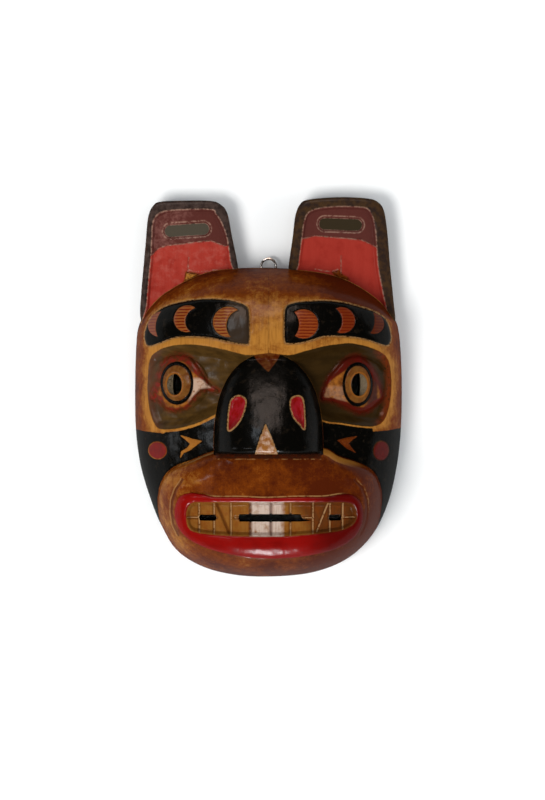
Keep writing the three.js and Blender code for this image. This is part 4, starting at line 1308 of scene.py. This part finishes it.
def carve():
    """The mask's closed mesh: the face and ears joined, then hollowed and pierced."""
    body = closed_relief("mask", CENTRE, FACE.radius, face_height, **FACE_MESH)
    joins = []
    for k, side in enumerate(SIDES):
        name, middle = f"{side}_ear", EAR_MIDDLES[side]
        outline = RadialOutline(OUTLINES[name], middle)
        joins.append(closed_relief(name, middle, outline.radius, ear_height(k), **EAR_MESH))
    hollow = closed_relief("hollow", CENTRE, hollow_edge, hollow_height, bottom=HOLLOW_BOTTOM, **HOLLOW_MESH)
    hollows = [hollow, *ring_seat()]
    cuts = eye_cuts() + [closed_prism("bite_cut", bite_outline(**slot), 0.0, **BITE_CUT) for slot in BITE_SLOTS]
    looks = [painted_face(), painted_ear(), raw_wood(), shaded_cut_wood()]
    for look, parts in enumerate(([body], joins, hollows, cuts)):
        for part in parts:
            for material in looks:
                part.data.materials.append(material)
            part.data.polygons.foreach_set("material_index", np.full(len(part.data.polygons), look, np.int32))
    for operation, parts in (("UNION", joins), ("DIFFERENCE", hollows + cuts)):
        for part in parts:
            step = body.modifiers.new(part.name, "BOOLEAN")
            step.operation, step.solver, step.object = operation, "MANIFOLD", part
    seen = body.evaluated_get(bpy.context.evaluated_depsgraph_get())
    mesh = bpy.data.meshes.new_from_object(seen)
    body.modifiers.clear()
    body.data = mesh
    for part in joins + hollows + cuts:
        bpy.data.objects.remove(part)
    return body


def eye_cuts():
    """The cuts through the pupils, a little uneven, as from a knife."""
    rng = np.random.default_rng(7)
    count, nicks = EYE_CUT_EDGE["points"], EYE_CUT_EDGE["nicks"]
    turn = 2 * math.pi * np.arange(count) / count
    cuts = []
    for eye in EYES:
        wave = EYE_CUT_EDGE["wave"] * np.sin(3 * turn + rng.uniform(0, 6))
        uneven = 1.0 + wave + rng.uniform(-nicks, nicks, count)
        (rx, ry), side = eye["hole_r"], math.copysign(1.0, eye["x"])
        inward = np.where(side * np.cos(turn) > 0, HOLE_SLANT["width"] - rx, rx)
        ring = np.column_stack([inward * np.cos(turn), ry * np.sin(turn)]) * uneven[:, None] + eye["hole"]
        cuts.append(closed_prism("eye_cut", ring, **{**EYE_CUT, "lean": side * EYE_CUT["lean"]}))
    return cuts


def bite_outline(start, end, half, tail):
    """The gap between the teeth, nicked where two of them meet, as points round it from its lower left."""
    blunt, nick, depth = BITE_NICK.values()
    edge = [(start + blunt, half)]
    for at in TOOTH_LINES:
        if start + 2 * nick < at < end - 2 * nick:
            edge += [(at - nick, half), (at, half + depth), (at + nick, half)]
    edge.append((end - blunt, half))
    right = [(end + tail, -0.8 * half), (end + blunt, -0.2 * half)] if tail else [(end, 0.0)]
    ring = [*((x, -y) for x, y in edge), *right, *edge[::-1], (start, 0.0)]
    return [(x, BITE_Y + y) for x, y in ring]


def ring_seat():
    """The recess and the hole in the back of the top edge that the ring is screwed into."""
    reach = RING["radius"] + RING["wire"]
    floor, half = RING["y"] - reach - RING_SEAT["under"], reach + RING_SEAT["side"]
    top = floor + RING_SEAT["height"]
    box = [(-half, floor), (half, floor), (half, top), (-half, top)]
    recess = closed_prism("recess", box, 0.0, -RING_SEAT["back"], 2 * RING["z"] + RING_SEAT["back"])
    bottom = floor - RING["length"] - GAP
    path = [(0.0, bottom, RING["z"]), (0.0, floor + RING_SEAT["under"], RING["z"])]
    hole = tube("shank_hole", path, lambda length, around: RING["shank"] + GAP, 24)
    return [recess, hole]


def paint_guides(mesh):
    """Stores on every vertex how far it is from each painted shape, for the materials to read."""
    flat = np.empty(len(mesh.vertices) * 3, np.float32)
    mesh.vertices.foreach_get("co", flat)
    x, y, z = (flat.reshape(-1, 3).astype(float) / MM).T
    d = face_distances(x, y)
    for name, values in {**d, **face_guides(x, y, d), **ear_guides(x, y, z)}.items():
        mesh.attributes.new(name, "FLOAT", "POINT").data.foreach_set("value", values.astype(np.float32))


def face_guides(x, y, d):
    """The guides on the face that are more than the distance to one shape."""
    nose = np.maximum(np.abs(x) - nose_half_width(y), NOSE["bottom"] - NOSE_FORM["end_width"] - y)
    on_nose, in_mouth = nose < 0, d["mouth"] < 0
    ring, iris = np.min([ring_edges(eye, x, y) for eye in EYES], axis=0)
    hole = np.min([ellipse_distance(x, y, eye["hole"], eye["hole_r"]) for eye in EYES], axis=0)
    below_top = y - np.interp(x, *np.array(CHEEK_TOP, float).T)
    socket_gap = np.where(x > 0, *CHEEK["socket_gaps"])
    under_socket = np.maximum.reduce([socket_gap - d["socket"], y - CHEEK["top"], np.abs(x) - CHEEK["half_width"]])
    cheek = np.maximum(np.minimum(below_top, under_socket), CHEEK["muzzle_gap"] - d["muzzle"])
    golden = sum(most * np.exp(-(np.maximum(d[name], 0.0) / reach) ** 2) for name, (most, reach) in GOLDEN.items())
    golden = np.maximum(golden, np.exp(-ellipse(x, y - GOLDEN_BRIDGE["y"], *GOLDEN_BRIDGE["half_sizes"]) ** 2))
    on_nose_lines = np.minimum(np.abs(d["nostril"]), np.abs(d["nose_triangle"]))
    dark, light, bite = tooth_lines(x, y), light_tooth_lines(x, y), bite_line(x, y)
    return {
        "vault": vault(x, y, VAULT_POWER), "golden": golden, "cheek": cheek,
        "ring": ring, "iris": iris, "hole": hole,
        "nose": nose, "nostril": np.where(on_nose, d["nostril"], FAR),
        "tooth_line": np.where(in_mouth, np.minimum(dark, bite), FAR),
        "tooth_light": np.where(in_mouth, np.minimum(light, THIN_BITE * bite), FAR),
        "line": np.where(on_nose, on_nose_lines, np.abs(d["brow"])),
        "crease": np.where(on_nose, FAR, np.maximum(0.0, d["crease"] - CREASE_HALF)),
        "outside_crease": outside_crease(x, y),
    }


def ear_guides(x, y, z):
    """The guides on the ears."""
    d = distances(x, y, [], EAR_SHAPES)
    divide = np.where(x < 0, divide_distance(0, x, y), divide_distance(1, x, y))
    slot = np.minimum(*(slot_distance(slot, x, y) for slot in EAR_SLOTS))
    split = np.min([path_distance(x, y, line) for line in [*EAR_SPLITS, *EAR_FEET]], axis=0)
    in_panel = np.where(d["panel"] < 0, np.minimum(np.abs(divide), split), FAR)
    slot_lines = [thinner + np.abs(slot - at) for at, thinner in SLOT_LINES]
    on_ear = d["ear"] < EAR_PAINT["reach"]
    below_dome = dome_height(x, y) - EAR_PAINT["join_gap"] - z
    return {
        **d, "divide": divide, "slot": slot,
        "ear_line": np.min([np.abs(d["panel"]), *slot_lines, in_panel], axis=0),
        "ear_join": np.where(on_ear & (z > EAR_PAINT["join_from"]), below_dome, -FAR),
        "above_ear": np.where(on_ear, z - EAR_PAINT["level"], FAR),
    }


def finish_surface(mesh, sharper_than):
    mesh.shade_smooth()
    mesh.set_sharp_from_angle(angle=math.radians(sharper_than))


def make_mask():
    body = carve()
    mesh = body.data
    paint_guides(mesh)
    middles = np.empty(len(mesh.polygons) * 3, np.float32)
    mesh.polygons.foreach_get("center", middles)
    look = np.empty(len(mesh.polygons), np.int32)
    mesh.polygons.foreach_get("material_index", look)
    look[middles[2::3] < BACK["below"] * MM] = BACK["look"]
    mesh.polygons.foreach_set("material_index", look)
    finish_surface(mesh, 42.0)
    body.name = "carved_mask"
    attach(body, "root")
    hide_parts("mask_body")


# The wire screw eye

def make_ring():
    """A ring of wire that turns down into a shank with a thread."""
    r, wire, shank, length = RING["radius"], RING["wire"], RING["shank"], RING["length"]
    start = math.radians(RING_LOOP["start"])
    turned = np.linspace(start, start + math.radians(RING_LOOP["turn"]), RING_LOOP["points"])
    loop = [(r * math.cos(a), r * math.sin(a)) for a in turned]
    low = -r - wire * RING_NECK["foot"] - length - RING_SEAT["under"]
    neck = [(0.0, y) for y in np.linspace(low, -r - RING_NECK["top"], RING_NECK["points"])]
    bend = [(x, y - r) for x, y in RING_NECK["bend"]]
    path = np.array([(x, y + RING["y"], RING["z"]) for x, y in neck + bend + loop])
    thread_end = length - THREAD["end"]

    def radius(along, around):
        turn = (along / THREAD["pitch"] - around / (2 * math.pi)) % 1.0
        ridge = THREAD["height"] * np.exp(-((turn - 0.5) / THREAD["width"]) ** 2)
        thread = ridge * rise(thread_end - along, THREAD["run_out"])
        core = (shank - THREAD["core"]) * rise(along + THREAD["point"], THREAD["taper"])
        core = core + thread * rise(along, THREAD["run_in"])
        return core + (wire - core) * rise(along - thread_end, 1.0)

    ring = tube("screw_eye", path, radius, 22)
    ring.data.materials.append(plated_steel())
    finish_surface(ring.data, 50.0)
    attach(ring, "root")
    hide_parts("hanging_ring")


# Floor, light and camera

def pale_floor():
    s = Shader("pale_floor")
    base = s.mix(s.noise(60.0, 3), FLOOR_WHITE, FLOOR_GREY)
    return s.finish(base, 0.75, s.noise(2.0, 2) * 0.02, ior=1.2)


def softbox(name, shines, place, size, watts, tint):
    """A rectangular lamp that faces the mask, so wide and so high, that either lights it or shines on it."""
    light = bpy.data.lights.new(name, "AREA")
    light.shape, light.energy, light.color = "RECTANGLE", watts, tint
    light.size, light.size_y = size
    made = bpy.data.objects.new(name, light)
    made.location = place
    made.visible_diffuse, made.visible_glossy = not shines, shines
    made.rotation_euler = Vector(place).to_track_quat("Z", "Y").to_euler()
    bpy.context.scene.collection.objects.link(made)


# Lamps that light the surfaces and lamps that only shine on the varnish: place, size, watts and tint
LIGHTING = {
    "key": ((-0.9, -0.62, 2.0), (1.0, 0.75), 40.0, (1.0, 0.99, 0.97)),
    "fill": ((1.5, -0.2, 0.9), (0.8, 0.8), 8.0, (1.0, 0.98, 0.95)),
    "chin": ((-0.3, -1.5, 0.6), (0.8, 0.6), 1.5, (1.0, 0.98, 0.95)),
}
SHINE = {
    "lip_shine": ((-0.02, -1.6, 0.32), (0.17, 0.56), 66.0, (0.95, 0.97, 1.0)),
    "cheek_shine": ((-0.9, 0.05, 1.4), (0.1, 0.5), 6.5, (0.92, 0.96, 1.0)),
    "side_shine": ((-1.6, -0.15, 0.4), (0.14, 0.3), 2.2, (0.95, 0.97, 1.0)),
    "window": ((-0.5, 1.2, 1.5), (0.3, 0.45), 9.5, (0.85, 0.93, 1.0)),
    "wall": ((-0.1, 1.6, 1.1), (0.8, 0.8), 29.0, (1.0, 0.8, 0.7)),
}
ROOM_LIGHT = {"Color": (0.9, 0.95, 1.0, 1.0), "Strength": 0.6}
FLOOR = {"half": 1500.0, "z": -0.2}
CAMERA = {"place": (0.0032, -0.0103, 2.0), "lens": 111.1}


def studio():
    corners = [(x * FLOOR["half"], y * FLOOR["half"], FLOOR["z"]) for x, y in ((-1, -1), (1, -1), (1, 1), (-1, 1))]
    floor = new_object("floor", corners, [(0, 1, 2), (0, 2, 3)])
    floor.data.materials.append(pale_floor())
    for shines, lamps in ((False, LIGHTING), (True, SHINE)):
        for name, lamp in lamps.items():
            softbox(name, shines, *lamp)
    world = bpy.data.worlds.new("room")
    world.use_nodes = True
    for name, value in ROOM_LIGHT.items():
        world.node_tree.nodes["Background"].inputs[name].default_value = value
    world.cycles_visibility.glossy = False
    bpy.context.scene.world = world
    bpy.context.scene.view_settings.view_transform = "Standard"
    camera = bpy.data.objects.new("camera", bpy.data.cameras.new("camera"))
    camera.location = CAMERA["place"]
    camera.data.lens = CAMERA["lens"]
    bpy.context.scene.collection.objects.link(camera)
    bpy.context.scene.camera = camera


make_mask()
make_ring()
studio()
